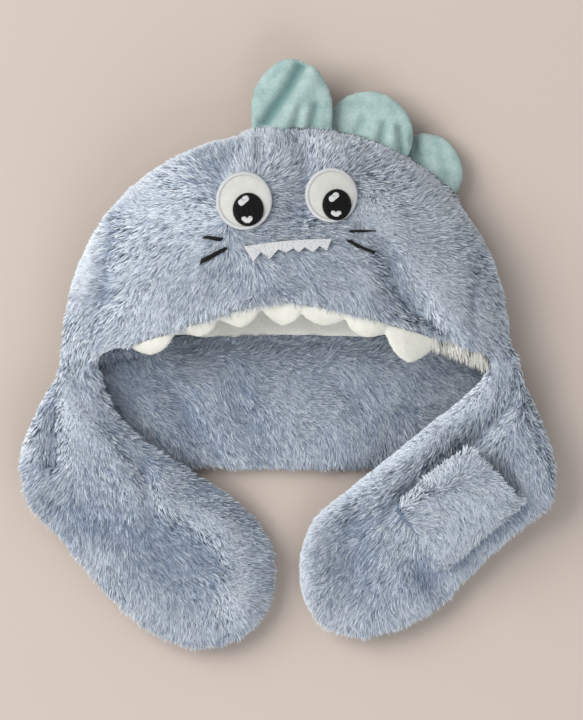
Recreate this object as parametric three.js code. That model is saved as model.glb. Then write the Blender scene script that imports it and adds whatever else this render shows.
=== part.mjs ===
// A child's plush hood with a monster face and two scarf tails, lying on its back with the face up.
// Millimetres, +Z up. The crown's tip points to +Y and the tails to -Y. Left is -X, as seen from above.
// The origin lies on the floor, below the middle of the neck band.
import * as THREE from "three";

// Clearances between pieces that are sewn or laid together
const GAP = 0.35;
const LINING_GAP = 0.8;
const ROOT_GAP = 1.2;

// Height of the face patches' underside above the crown's surface
const SEAT = 0.8;

// The crown is a flattened dome. It lies flat on its back and is open towards -Y.
const CROWN = {
  halfWidth: 136,
  length: 133,
  tipShare: 0.03,
  sideHeight: 17,
  topHeight: 66,
  wall: 9,
  planPower: 2.12,
  frontPower: 2.25,
  backPower: 5,
  crestPower: 2.8,
  crestRoundness: 2.1,
  heelPower: 10,
  backRise: 1.5,
  browStart: 62,
  browDrop: 9,
};
const LINING_THICKNESS = 2.4;

// The face opening's rim, an arch that falls away differently on its two sides, and the seam along
// the back of the neck
const RIM = {
  top: 34,
  apexX: -6,
  halfSpan: 120,
  left: { drop: 39, power: 1.2 },
  right: { drop: 32.2, power: 1.55 },
  lowest: -5,
};
const BACK_SEAM = { middle: 13, drop: 18, power: 3 };
const LIP_SHARE = 0.36;

// Rings that round a dome wall's lip: how far through the wall each is, and its reach past the edge
const LIP_RINGS = [
  { through: 0.2, reach: 0.75 },
  { through: 0.5, reach: 1 },
  { through: 0.8, reach: 0.75 },
];

// Folds in the crown's front, each along a line from (x1, y1) to (x2, y2) in plan. A positive
// depth is a valley and a negative one a ridge.
const CROWN_FOLDS = [
  { x1: -45, y1: 121, x2: -52, y2: 88, width: 10, depth: 3.5 },
  { x1: 7, y1: 128, x2: 3, y2: 82, width: 8, depth: 2.5 },
  { x1: 45, y1: 112, x2: 52, y2: 67, width: 8, depth: 2.8 },
  { x1: -37, y1: 50, x2: -4, y2: 34, width: 6, depth: 3 },
  { x1: -9, y1: 45, x2: 35, y2: 40, width: 7, depth: 2.2 },
  { x1: 68, y1: 58, x2: 90, y2: 8, width: 10, depth: 6 },
  { x1: 101, y1: 88, x2: 112, y2: 13, width: 9, depth: -4 },
  { x1: 56, y1: 46, x2: 51, y2: 31, width: 11, depth: -2.5 },
  { x1: -99, y1: 82, x2: -106, y2: 31, width: 7, depth: 3.2 },
];

// The neck band lies on the floor, between the two seams where the tails start
const NECK = { hemY: -70, thickness: 14, edgePower: 3.4, flatShare: 0.9 };

// Tail sections from the neck seam, round the side fold, to the tip. Each row is one section:
// its inner edge (ix, iy, iz), its outer edge (ox, oy, oz), its thickness and its turn in degrees,
// which is 0 in the lower layer and 180 in the upper one.
const LEFT_TAIL = [
  { ix: -114, iy: -1.2, iz: 7, ox: -139, oy: -70, oz: 7, thick: 14, turn: 0 },
  { ix: -122, iy: -4.4, iz: 7, ox: -149, oy: -69.5, oz: 7, thick: 14, turn: 4 },
  { ix: -128, iy: -7, iz: 10, ox: -156, oy: -68.5, oz: 9, thick: 14.5, turn: 48 },
  { ix: -130, iy: -9, iz: 17, ox: -158.5, oy: -67.5, oz: 16, thick: 15, turn: 90 },
  { ix: -128, iy: -9, iz: 24, ox: -158.5, oy: -70, oz: 22, thick: 16, turn: 134 },
  { ix: -120, iy: -9.5, iz: 28, ox: -159, oy: -75, oz: 24, thick: 18, turn: 174 },
  { ix: -110, iy: -17, iz: 29, ox: -157, oy: -86, oz: 23, thick: 21, turn: 180 },
  { ix: -101, iy: -37, iz: 29, ox: -150.5, oy: -98.5, oz: 20, thick: 22.5, turn: 180 },
  { ix: -85, iy: -53, iz: 28.5, ox: -137, oy: -112, oz: 15.5, thick: 23.5, turn: 180 },
  { ix: -65, iy: -66, iz: 25.5, ox: -122, oy: -130, oz: 12, thick: 24, turn: 180 },
  { ix: -45, iy: -79, iz: 19, ox: -107, oy: -148, oz: 11.2, thick: 24, turn: 180 },
  { ix: -27, iy: -92, iz: 14, ox: -91, oy: -162, oz: 11, thick: 24, turn: 180 },
  { ix: -13, iy: -108, iz: 11.4, ox: -73, oy: -173, oz: 11, thick: 24, turn: 180 },
  { ix: -7, iy: -128, iz: 11, ox: -54, oy: -178.5, oz: 11, thick: 22, turn: 180 },
  { ix: -9, iy: -148, iz: 10, ox: -35, oy: -175.5, oz: 10, thick: 17, turn: 180 },
  { ix: -14, iy: -159, iz: 10, ox: -22, oy: -169, oz: 10, thick: 8, turn: 180 },
];
const RIGHT_TAIL = [
  { ix: 117, iy: -2.1, iz: 7, ox: 139, oy: -70, oz: 7, thick: 14, turn: 0 },
  { ix: 125, iy: -5.4, iz: 7, ox: 149, oy: -71, oz: 7, thick: 14, turn: 4 },
  { ix: 131, iy: -7.8, iz: 10, ox: 157, oy: -73, oz: 9, thick: 14.5, turn: 48 },
  { ix: 133, iy: -9, iz: 17, ox: 160, oy: -75, oz: 16, thick: 15, turn: 90 },
  { ix: 132, iy: -9, iz: 24, ox: 161, oy: -77.5, oz: 22, thick: 16, turn: 134 },
  { ix: 127, iy: -9.5, iz: 28, ox: 162, oy: -83, oz: 24, thick: 18, turn: 174 },
  { ix: 117, iy: -16, iz: 29, ox: 160.5, oy: -89, oz: 23, thick: 21, turn: 180 },
  { ix: 102, iy: -30, iz: 29, ox: 150.5, oy: -99.5, oz: 21, thick: 22, turn: 180 },
  { ix: 84, iy: -44, iz: 28.5, ox: 136, oy: -111, oz: 16, thick: 23, turn: 180 },
  { ix: 66, iy: -59, iz: 26, ox: 121, oy: -124.5, oz: 12.4, thick: 24, turn: 180 },
  { ix: 48, iy: -73.5, iz: 20.5, ox: 106, oy: -139, oz: 11.2, thick: 24, turn: 180 },
  { ix: 31, iy: -87, iz: 14.5, ox: 91, oy: -154, oz: 11, thick: 24, turn: 180 },
  { ix: 16, iy: -101, iz: 11.4, ox: 70, oy: -166, oz: 11, thick: 24, turn: 180 },
  { ix: 8, iy: -121, iz: 11, ox: 47, oy: -172, oz: 11, thick: 22, turn: 180 },
  { ix: 8, iy: -141, iz: 10, ox: 28, oy: -168, oz: 10, thick: 17, turn: 180 },
  { ix: 12, iy: -153, iz: 10, ox: 19, oy: -162, oz: 10, thick: 8, turn: 180 },
];
const TAIL_POWER = 2.5;

// The rows over which a tail's folds fade in, past its turn
const FOLD_START = { from: 3.4, to: 5 };

// Folds in the tails' upper side, written like the crown's
const LEFT_FOLDS = [
  { x1: -141, y1: -28, x2: -138, y2: -62, width: 5, depth: 5 },
  { x1: -112, y1: -47, x2: -93, y2: -88, width: 7, depth: -3 },
  { x1: -86, y1: -74, x2: -83, y2: -101, width: 7, depth: 4 },
  { x1: -112, y1: -92, x2: -137, y2: -99, width: 6, depth: 3 },
  { x1: -76, y1: -92, x2: -39, y2: -107, width: 7, depth: -3.5 },
  { x1: -39, y1: -107, x2: -27, y2: -149, width: 8, depth: -3 },
  { x1: -70, y1: -134, x2: -52, y2: -149, width: 22, depth: 4 },
];
const RIGHT_FOLDS = [
  { x1: 126, y1: -18, x2: 38, y2: -86, width: 8, depth: -4 },
  { x1: 35, y1: -85, x2: 14, y2: -125, width: 8, depth: -3 },
  { x1: 145, y1: -25, x2: 63, y2: -94, width: 6, depth: 5 },
  { x1: 38, y1: -104, x2: 35, y2: -149, width: 14, depth: 3.5 },
  { x1: 67, y1: -116, x2: 96, y2: -139, width: 8, depth: 4 },
  { x1: 105, y1: -53, x2: 147, y2: -85, width: 6, depth: 3 },
];

// The loop on the right tail: its stretch of rows, its edges across, its wall and its inner height
const LOOP = {
  fromInner: 7.5,
  fromOuter: 6.95,
  to: 10.2,
  inner: 0.29,
  outer: 0.83,
  wall: 5,
  clearHeight: 8,
  archPower: 3,
  edgePower: 3,
  seat: 0.6,
};

// Teeth along the rim, from left to right, nearly touching at their roots: the middle, the width
// at the root, the length, the lean of the tip along X, and how full each side is
const TEETH = [
  { x: -80.3, width: 24.6, length: 10, lean: -1, leftFull: 2, rightFull: 2.2 },
  { x: -53.7, width: 22.4, length: 8.2, lean: 1.4, leftFull: 2, rightFull: 2.6 },
  { x: -29.1, width: 25.9, length: 10.4, lean: 1.5, leftFull: 1.5, rightFull: 1.6 },
  { x: -3.6, width: 24.1, length: 14.4, lean: 1.4, leftFull: 1.6, rightFull: 3 },
  { x: 22.2, width: 26.4, length: 11.2, lean: 0.8, leftFull: 3, rightFull: 3 },
  { x: 47.7, width: 23.5, length: 12.3, lean: 0.4, leftFull: 3, rightFull: 6 },
  { x: 75.1, width: 30.3, length: 19, lean: -1.2, leftFull: 2, rightFull: 1.8 },
];
const TOOTH = {
  thickness: 6.5,
  drop: 3,
  belowRim: 5.2,
  roundness: 0.6,
  tipWidth: 0.03,
  thinning: 3,
  tipThickness: 0.25,
};

// Spikes on the crest, from left to right: the bearing of the root's middle as seen from the
// origin, the root's width, the length, the lean of the tip along the outline, and the heights of
// the two sides, which make each spike overlap the next
const SPIKES = [
  { bearing: 88.6, width: 49, length: 42, lean: -1, leftZ: 19, rightZ: 24 },
  { bearing: 68.8, width: 53, length: 30, lean: -3, leftZ: 13, rightZ: 18.5 },
  { bearing: 51.3, width: 41, length: 22, lean: -5, leftZ: 7.5, rightZ: 12.5 },
];
const SPIKE = {
  thickness: 10,
  edge: 1.2,
  full: 3,
  roundness: 0.5,
  swell: 0.05,
  rootGap: 0.8,
  rootFill: 0.4,
  tipWidth: 0.04,
  tipThickness: 0.1,
};

// Face patches, in plan: middles, half axes and thicknesses
const EYES = [
  { side: "left", x: -25.3, y: 89.5, rx: 17.1, ry: 17.8, px: -22.8, py: 84.2, prx: 9.1, pry: 9.9 },
  { side: "right", x: 26.8, y: 92.9, rx: 16, ry: 16.7, px: 30, py: 87, prx: 8.5, pry: 9.3 },
];
const EYE_THICKNESS = 1.8;
const PUPIL_THICKNESS = 1.2;
const OVAL = { core: 0.3, rim: 0.9, shoulder: 0.7 };

// The mouth's lower edge, from left to right: fangs and notches, as depths below its upper edge
const MOUTH = {
  leftX: -25,
  rightX: 26.5,
  leftY: 62.2,
  rightY: 66.6,
  arch: 1.2,
  thickness: 1.6,
  edge: [
    { at: 0, depth: 0.8 },
    { at: 0.1, depth: 10 },
    { at: 0.19, depth: 4.8 },
    { at: 0.29, depth: 9.8 },
    { at: 0.39, depth: 4.6 },
    { at: 0.48, depth: 7 },
    { at: 0.56, depth: 4.8 },
    { at: 0.63, depth: 7.4 },
    { at: 0.7, depth: 4.4 },
    { at: 0.79, depth: 7.8 },
    { at: 0.87, depth: 4 },
    { at: 0.95, depth: 7 },
    { at: 1, depth: 1 },
  ],
};

// Embroidered whisker strokes, from (x1, y1) to (x2, y2)
const WHISKERS = [
  { x1: -50, y1: 68, x2: -39, y2: 67, width: 1.6 },
  { x1: -51, y1: 53, x2: -36, y2: 61.5, width: 2.2 },
  { x1: 37.5, y1: 71.5, x2: 52.5, y2: 71.5, width: 1.5 },
  { x1: 36, y1: 66, x2: 52.5, y2: 58, width: 1.8 },
];
const WHISKER_HEIGHT = 1.4;
const WHISKER_TIP = 0.55;

// Facets round and along each kind of piece
const FACETS = {
  crownRound: 48,
  crownRows: 11,
  tailRound: 22,
  tailStepsPerRow: 2,
  bandRound: 20,
  bandSteps: 12,
  toothRound: 10,
  toothSteps: 6,
  spikeRound: 16,
  spikeSteps: 7,
  eyeRound: 18,
  loopRound: 12,
  loopSteps: 12,
  whiskerRound: 6,
  whiskerSteps: 4,
};

const material = (color, roughness) =>
  new THREE.MeshStandardMaterial({ color, roughness, metalness: 0 });
const PLUSH = material(0x97a5b8, 1);
const LINING = material(0xd9d8cd, 1);
const FLEECE = material(0xeeece4, 0.95);
const VELOUR = material(0x9fccc6, 0.9);
const SATIN = material(0xf0f0ee, 0.6);
const BLACK_THREAD = material(0x1c1c20, 0.6);
const WHITE_THREAD = material(0xe9e9ea, 0.7);

const radians = THREE.MathUtils.degToRad;
const mix = THREE.MathUtils.lerp;

// Height of a superellipse of half width 1 and half height 1, at x
function bulge(x, power) {
  return Math.max(0, 1 - Math.abs(x) ** power) ** (1 / power);
}

// A closed mesh through rings of points, closed at each end by a fan round the ring's middle.
// Each four-sided facet is split along its shorter diagonal.
function loft(rings) {
  const round = rings[0].length;
  const points = rings.flat();
  const positions = points.flatMap((p) => [p.x, p.y, p.z]);
  const index = [];
  for (let row = 0; row + 1 < rings.length; row++) {
    for (let k = 0; k < round; k++) {
      const a = row * round + k;
      const b = row * round + ((k + 1) % round);
      const [c, d] = [a + round, b + round];
      if (points[b].distanceTo(points[c]) < points[a].distanceTo(points[d])) {
        index.push(a, b, c, b, d, c);
      } else {
        index.push(a, b, d, a, d, c);
      }
    }
  }
  for (const [ring, start, flip] of [
    [rings[0], 0, true],
    [rings.at(-1), (rings.length - 1) * round, false],
  ]) {
    const middle = positions.length / 3;
    const centre = new THREE.Vector3();
    ring.forEach((p) => centre.add(p));
    centre.divideScalar(round);
    positions.push(centre.x, centre.y, centre.z);
    for (let k = 0; k < round; k++) {
      const a = start + k;
      const b = start + ((k + 1) % round);
      index.push(...(flip ? [middle, b, a] : [middle, a, b]));
    }
  }
  if (signedVolume(positions, index) < 0) {
    index.reverse();
  }
  const geometry = new THREE.BufferGeometry();
  geometry.setAttribute("position", new THREE.Float32BufferAttribute(positions, 3));
  geometry.setIndex(index);
  geometry.computeVertexNormals();
  return geometry;
}

function signedVolume(positions, index) {
  const corner = (i) => new THREE.Vector3().fromArray(positions, 3 * index[i]);
  let volume = 0;
  for (let i = 0; i < index.length; i += 3) {
    volume += corner(i).dot(corner(i + 1).cross(corner(i + 2))) / 6;
  }
  return volume;
}

// Smooth curve through one column of a table, at a place counted in rows
function column(rows, key, at) {
  const last = rows.length - 1;
  const place = THREE.MathUtils.clamp(at, 0, last);
  const row = Math.min(Math.floor(place), last - 1);
  const value = (i) => rows[THREE.MathUtils.clamp(i, 0, last)][key];
  const [a, b, c, d] = [value(row - 1), value(row), value(row + 1), value(row + 2)];
  const t = place - row;
  const bend = 2 * a - 5 * b + 4 * c - d;
  const twist = 3 * (b - c) + d - a;
  return b + 0.5 * t * (c - a + t * (bend + t * twist));
}

// Distance from a point to a line between two points, in plan
function distanceToLine(x, y, line) {
  const dx = line.x2 - line.x1;
  const dy = line.y2 - line.y1;
  const along = ((x - line.x1) * dx + (y - line.y1) * dy) / (dx * dx + dy * dy);
  const t = THREE.MathUtils.clamp(along, 0, 1);
  return Math.hypot(x - line.x1 - t * dx, y - line.y1 - t * dy);
}

// Depth of a group of folds at a point, in plan
function foldDepth(folds, x, y) {
  return folds.reduce(
    (sum, fold) => sum + fold.depth * Math.exp(-((distanceToLine(x, y, fold) / fold.width) ** 2)),
    0,
  );
}

// The crown's plan outline: its half width at y, drawn in by inset
function crownHalfWidth(y, inset) {
  return (CROWN.halfWidth - inset) * bulge(y / (CROWN.length - inset), CROWN.planPower);
}

// Height of the crown's front above the floor, drawn in by inset
function crownFront(x, y, inset) {
  const across = x / Math.max(crownHalfWidth(y, inset), 1e-6);
  const along = Math.abs(y / (CROWN.length - inset));
  const crest = Math.max(0, 1 - along ** CROWN.crestPower) ** (1 / CROWN.crestRoundness);
  const brow = Math.max(0, (CROWN.browStart - y) / CROWN.browStart) ** 2;
  const top = CROWN.topHeight - inset - CROWN.browDrop * brow;
  const arch = bulge(across, CROWN.frontPower);
  return mix(CROWN.sideHeight, top, crest * arch) - foldDepth(CROWN_FOLDS, x, y) * crest * arch;
}

// Height of the crown's back above the floor, drawn in by inset. It lies flat, up to its edges.
function crownBack(x, y, inset) {
  const across = x / Math.max(crownHalfWidth(y, inset), 1e-6);
  const heel = bulge(y / (CROWN.length - inset), CROWN.heelPower);
  const round = mix(CROWN.sideHeight, inset - CROWN.backRise, heel * bulge(across, CROWN.backPower));
  return Math.max(inset, round);
}

// How far the face opening's rim and the seam behind the neck reach along Y, at x
function rimY(x) {
  const side = x < RIM.apexX ? RIM.left : RIM.right;
  const arch = side.drop * (Math.abs(x - RIM.apexX) / RIM.halfSpan) ** side.power;
  return Math.max(RIM.top - arch, RIM.lowest);
}

function backSeamY(x) {
  return BACK_SEAM.middle - BACK_SEAM.drop * (Math.abs(x) / CROWN.halfWidth) ** BACK_SEAM.power;
}

// One ring round the crown. share is 0 at the tip and 1 at the edge, and slide moves the ring out
// past the edge to round the lip.
function crownRing(round, share, inset, slide) {
  const ring = [];
  const length = CROWN.length - inset;
  for (let k = 0; k < round; k++) {
    const angle = (2 * Math.PI * k) / round;
    const front = Math.sin(angle) >= 0;
    const edgeX = (CROWN.halfWidth - inset) * Math.cos(angle);
    const edgeY = front ? rimY(edgeX) : backSeamY(edgeX);
    const reach = Math.sign(edgeY) * Math.abs(edgeY / length) ** (CROWN.planPower / 2);
    const latitude = share * Math.acos(reach);
    const rise = Math.cos(latitude);
    const y = length * Math.sign(rise) * Math.abs(rise) ** (2 / CROWN.planPower);
    const x = crownHalfWidth(y, inset) * Math.cos(angle);
    const z = front ? crownFront(x, y, inset) : crownBack(x, y, inset);
    ring.push(new THREE.Vector3(x, y - slide, z));
  }
  return ring;
}

// A dome wall between two insets, closed by a rounded lip at its edge
function domeWall(outer, inner) {
  const round = FACETS.crownRound;
  const shares = [];
  for (let row = 0; row <= FACETS.crownRows; row++) {
    shares.push(mix(CROWN.tipShare, 1, row / FACETS.crownRows));
  }
  const slide = LIP_SHARE * (inner - outer);
  return loft([
    ...shares.map((share) => crownRing(round, share, outer, 0)),
    ...LIP_RINGS.map((lip) => crownRing(round, 1, mix(outer, inner, lip.through), slide * lip.reach)),
    ...shares.reverse().map((share) => crownRing(round, share, inner, 0)),
  ]);
}

// The neck band: upright oval sections with a flat underside, ending along the tails' first sections
function neckBand() {
  const rings = [];
  const lip = LIP_SHARE * CROWN.wall;
  for (let step = 0; step <= FACETS.bandSteps; step++) {
    const share = step / FACETS.bandSteps;
    const shift = mix(GAP, -GAP, share);
    const upperX = mix(LEFT_TAIL[0].ix, RIGHT_TAIL[0].ix, share);
    const lowerX = mix(LEFT_TAIL[0].ox, RIGHT_TAIL[0].ox, share);
    const upper = new THREE.Vector2(upperX + shift, backSeamY(upperX) - lip - GAP);
    const lower = new THREE.Vector2(lowerX + shift, NECK.hemY);
    const ring = [];
    for (let k = 0; k < FACETS.bandRound; k++) {
      const angle = (2 * Math.PI * k) / FACETS.bandRound;
      const across = Math.cos(angle);
      const place = upper.clone().lerp(lower, (1 - across) / 2);
      const half = (NECK.thickness / 2) * bulge(across, NECK.edgePower);
      const onTop = Math.sin(angle) >= 0;
      const flat = !onTop && Math.abs(across) < NECK.flatShare;
      const z = NECK.thickness / 2 + (onTop ? half : -half);
      ring.push(new THREE.Vector3(place.x, place.y, flat ? 0 : z));
    }
    rings.push(ring);
  }
  return loft(rings);
}

// A tail's section at a place counted in rows: its middle, half axes and thickness direction
function tailSection(rows, side, at) {
  const value = (key) => column(rows, key, at);
  const inner = new THREE.Vector3(value("ix"), value("iy"), value("iz"));
  const outer = new THREE.Vector3(value("ox"), value("oy"), value("oz"));
  const middle = inner.clone().lerp(outer, 0.5);
  const axis = outer.sub(inner).multiplyScalar(0.5);
  const across = axis.clone().normalize();
  const up = new THREE.Vector3(0, 0, 1).addScaledVector(across, -across.z).normalize();
  const outward = across.clone().cross(up).multiplyScalar(-side);
  const turn = radians(value("turn"));
  const face = up.multiplyScalar(Math.cos(turn)).addScaledVector(outward, -Math.sin(turn));
  return { middle, axis, face: face.multiplyScalar(value("thick") / 2) };
}

// A point on the upper side of a tail's surface, before its folds. across is 0 at the inner edge
// and 1 at the outer one.
function smoothTop(tail, at, across) {
  const { middle, axis, face } = tailSection(tail.rows, tail.side, at);
  const x = 2 * across - 1;
  return middle.addScaledVector(axis, x).addScaledVector(face, -bulge(x, TAIL_POWER));
}

function foldedTop(tail, at, across) {
  const point = smoothTop(tail, at, across);
  const upper = THREE.MathUtils.smoothstep(at, FOLD_START.from, FOLD_START.to);
  const edge = bulge(2 * across - 1, TAIL_POWER);
  point.z -= foldDepth(tail.folds, point.x, point.y) * upper * edge;
  return point;
}

function tailSolid(tail) {
  const rings = [];
  const last = tail.rows.length - 1;
  for (let step = 0; step <= last * FACETS.tailStepsPerRow; step++) {
    const at = step / FACETS.tailStepsPerRow;
    const ring = [];
    for (let k = 0; k < FACETS.tailRound; k++) {
      const angle = (2 * Math.PI * k) / FACETS.tailRound;
      const x = -Math.cos(angle);
      if (Math.sin(angle) >= 0) {
        ring.push(foldedTop(tail, at, (1 + x) / 2));
      } else {
        const { middle, axis, face } = tailSection(tail.rows, tail.side, at);
        ring.push(middle.addScaledVector(axis, x).addScaledVector(face, bulge(x, TAIL_POWER)));
      }
      ring.at(-1).z = Math.max(0, ring.at(-1).z);
    }
    rings.push(ring);
  }
  return loft(rings);
}

// The loop: an arch across the tail, sewn down at both sides and open at both ends
function keeperLoop(tail) {
  const rings = [];
  for (let step = 0; step <= FACETS.loopSteps; step++) {
    const share = step / FACETS.loopSteps;
    const across = mix(LOOP.inner, LOOP.outer, share);
    const from = mix(LOOP.fromInner, LOOP.fromOuter, share);
    const lift = LOOP.seat + GAP + LOOP.clearHeight * bulge(2 * share - 1, LOOP.archPower);
    const ring = [];
    for (let k = 0; k < FACETS.loopRound; k++) {
      const angle = (2 * Math.PI * k) / FACETS.loopRound;
      const along = (1 - Math.cos(angle)) / 2;
      const at = mix(from, LOOP.to, along);
      const point = smoothTop(tail, at, across);
      const seat = Math.max(point.z, foldedTop(tail, at, across).z);
      const swell = bulge(2 * along - 1, LOOP.edgePower) * Math.sign(Math.sin(angle));
      const wall = (LOOP.wall / 2) * (1 + swell);
      point.z = seat + lift + wall;
      ring.push(point);
    }
    rings.push(ring);
  }
  return loft(rings);
}

// A shape that narrows from 1 at the root, share 0, to tip at share 1. full keeps it wide for longer.
function narrowing(share, full, tip, roundness) {
  return Math.max(tip, 1 - share ** full) ** roundness;
}

// A tooth hangs from the rim's underside and points along -Y
function toothSolid(tooth) {
  const rings = [];
  const lip = LIP_SHARE * CROWN.wall;
  for (let step = 0; step <= FACETS.toothSteps; step++) {
    const share = Math.sin((Math.PI / 2) * (step / FACETS.toothSteps));
    const thin = narrowing(share, TOOTH.thinning, TOOTH.tipThickness, TOOTH.roundness);
    const half = (TOOTH.thickness / 2) * thin;
    const ring = [];
    for (let k = 0; k < FACETS.toothRound; k++) {
      const angle = (2 * Math.PI * k) / FACETS.toothRound;
      const full = Math.cos(angle) < 0 ? tooth.leftFull : tooth.rightFull;
      const halfWidth = (tooth.width / 2) * narrowing(share, full, TOOTH.tipWidth, TOOTH.roundness);
      const x = tooth.x + tooth.lean * share + halfWidth * Math.cos(angle);
      const root = mix(rimY(x), rimY(tooth.x), share) - lip - ROOT_GAP;
      const seat = crownFront(x, rimY(x), 0) - TOOTH.belowRim;
      const z = seat - TOOTH.drop * share + half * Math.sin(angle);
      ring.push(new THREE.Vector3(x, root - tooth.length * share, z));
    }
    rings.push(ring);
  }
  return loft(rings);
}

// A point on the crown's plan outline at a bearing, moved outwards
function outlinePoint(bearing, outward) {
  const direction = new THREE.Vector2(Math.cos(bearing), Math.sin(bearing));
  const x = Math.abs(direction.x / CROWN.halfWidth) ** CROWN.planPower;
  const y = Math.abs(direction.y / CROWN.length) ** CROWN.planPower;
  const radius = (x + y) ** (-1 / CROWN.planPower);
  return direction.multiplyScalar(radius + outward);
}

// One oval section of a spike. share is 0 at the root and 1 at the tip, and size scales the oval.
function spikeRing(spike, share, size) {
  const ring = [];
  const swell = 1 + SPIKE.swell * Math.sin(Math.PI * share);
  const taper = narrowing(share, SPIKE.full, SPIKE.tipWidth, SPIKE.roundness);
  const halfWidth = (spike.width / 2) * swell * taper * size;
  const thin = narrowing(share, SPIKE.full, SPIKE.tipThickness, 1);
  const half = SPIKE.edge + (SPIKE.thickness / 2 - SPIKE.edge) * thin;
  const outward = SPIKE.rootGap + spike.length * share;
  for (let k = 0; k < FACETS.spikeRound; k++) {
    const angle = (2 * Math.PI * k) / FACETS.spikeRound;
    const across = halfWidth * Math.cos(angle);
    const bearing = radians(spike.bearing) - (across + spike.lean * share) / (CROWN.length + outward);
    const place = outlinePoint(bearing, outward);
    const middle = mix(spike.leftZ, spike.rightZ, 0.5 + across / spike.width);
    ring.push(new THREE.Vector3(place.x, place.y, middle + half * size * Math.sin(angle)));
  }
  return ring;
}

// A spike stands out from the crest, its root following the crown's outline
function spikeSolid(spike) {
  const rings = [spikeRing(spike, 0, SPIKE.rootFill)];
  for (let step = 0; step <= FACETS.spikeSteps; step++) {
    rings.push(spikeRing(spike, Math.sin((Math.PI / 2) * (step / FACETS.spikeSteps)), 1));
  }
  return loft(rings);
}

// An oval patch that follows the crown's front, between two heights above it
function ovalPatch(x, y, rx, ry, from, to) {
  const ring = (scale, height) => {
    const points = [];
    for (let k = 0; k < FACETS.eyeRound; k++) {
      const angle = (2 * Math.PI * k) / FACETS.eyeRound;
      const px = x + rx * scale * Math.cos(angle);
      const py = y + ry * scale * Math.sin(angle);
      points.push(new THREE.Vector3(px, py, crownFront(px, py, 0) + height));
    }
    return points;
  };
  return loft([
    ring(OVAL.core, from),
    ring(1, from),
    ring(1, mix(from, to, OVAL.shoulder)),
    ring(OVAL.rim, to),
    ring(OVAL.core, to),
  ]);
}

function mouthDepth(at) {
  const next = MOUTH.edge.findIndex((point) => point.at >= at);
  const [a, b] = [MOUTH.edge[Math.max(0, next - 1)], MOUTH.edge[next]];
  return b.at === a.at ? a.depth : mix(a.depth, b.depth, (at - a.at) / (b.at - a.at));
}

// The mouth: a flat strip across the face, with a section at each fang, notch and halfway point
function mouthPatch(seat) {
  const places = [];
  MOUTH.edge.forEach((point, i) => {
    if (i > 0) {
      places.push((MOUTH.edge[i - 1].at + point.at) / 2);
    }
    places.push(point.at);
  });
  return loft(
    places.map((at) => {
      const x = mix(MOUTH.leftX, MOUTH.rightX, at);
      const top = mix(MOUTH.leftY, MOUTH.rightY, at) + MOUTH.arch * Math.sin(Math.PI * at);
      const low = top - mouthDepth(at);
      const point = (y, height) => new THREE.Vector3(x, y, crownFront(x, y, 0) + seat + height);
      return [
        point(top, 0),
        point(mix(top, low, 0.5), 0),
        point(low, 0),
        point(low, MOUTH.thickness),
        point(mix(top, low, 0.5), MOUTH.thickness),
        point(top, MOUTH.thickness),
      ];
    }),
  );
}

// An embroidered stroke: a low ridge on the crown's front, thinner at its ends
function whiskerStroke(stroke, seat) {
  const rings = [];
  const direction = new THREE.Vector2(stroke.x2 - stroke.x1, stroke.y2 - stroke.y1).normalize();
  for (let step = 0; step <= FACETS.whiskerSteps; step++) {
    const share = step / FACETS.whiskerSteps;
    const half = (stroke.width / 2) * mix(WHISKER_TIP, 1, Math.sin(Math.PI * share));
    const ring = [];
    for (let k = 0; k < FACETS.whiskerRound; k++) {
      const angle = (2 * Math.PI * k) / FACETS.whiskerRound;
      const x = mix(stroke.x1, stroke.x2, share) - direction.y * half * Math.cos(angle);
      const y = mix(stroke.y1, stroke.y2, share) + direction.x * half * Math.cos(angle);
      const height = (WHISKER_HEIGHT / 2) * (1 + Math.sin(angle));
      ring.push(new THREE.Vector3(x, y, crownFront(x, y, 0) + seat + height));
    }
    rings.push(ring);
  }
  return loft(rings);
}

const hood = new THREE.Group();

function addPiece(name, geometry, finish) {
  const piece = new THREE.Mesh(geometry, finish);
  piece.name = name;
  hood.add(piece);
}

const leftTail = { rows: LEFT_TAIL, side: -1, folds: LEFT_FOLDS };
const rightTail = { rows: RIGHT_TAIL, side: 1, folds: RIGHT_FOLDS };
const liningInset = CROWN.wall + LINING_GAP;

addPiece("crown_shell", domeWall(0, CROWN.wall), PLUSH);
addPiece("crown_lining", domeWall(liningInset, liningInset + LINING_THICKNESS), LINING);
addPiece("neck_band", neckBand(), PLUSH);
addPiece("left_tail", tailSolid(leftTail), PLUSH);
addPiece("right_tail", tailSolid(rightTail), PLUSH);
addPiece("keeper_loop", keeperLoop(rightTail), PLUSH);
TEETH.forEach((tooth, i) => addPiece(`tooth_${i + 1}`, toothSolid(tooth), FLEECE));
SPIKES.forEach((spike, i) => addPiece(`spike_${i + 1}`, spikeSolid(spike), VELOUR));
for (const eye of EYES) {
  const top = SEAT + EYE_THICKNESS;
  const pupilSeat = top + GAP;
  addPiece(`${eye.side}_eye`, ovalPatch(eye.x, eye.y, eye.rx, eye.ry, SEAT, top), SATIN);
  addPiece(
    `${eye.side}_pupil`,
    ovalPatch(eye.px, eye.py, eye.prx, eye.pry, pupilSeat, pupilSeat + PUPIL_THICKNESS),
    BLACK_THREAD,
  );
}
addPiece("mouth_patch", mouthPatch(SEAT), WHITE_THREAD);
WHISKERS.forEach((stroke, i) =>
  addPiece(`whisker_${i + 1}`, whiskerStroke(stroke, SEAT), BLACK_THREAD),
);

export default hood;
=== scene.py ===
import math

import bmesh
import bpy
import numpy as np
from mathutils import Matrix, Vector, noise
from mathutils.bvhtree import BVHTree


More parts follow.
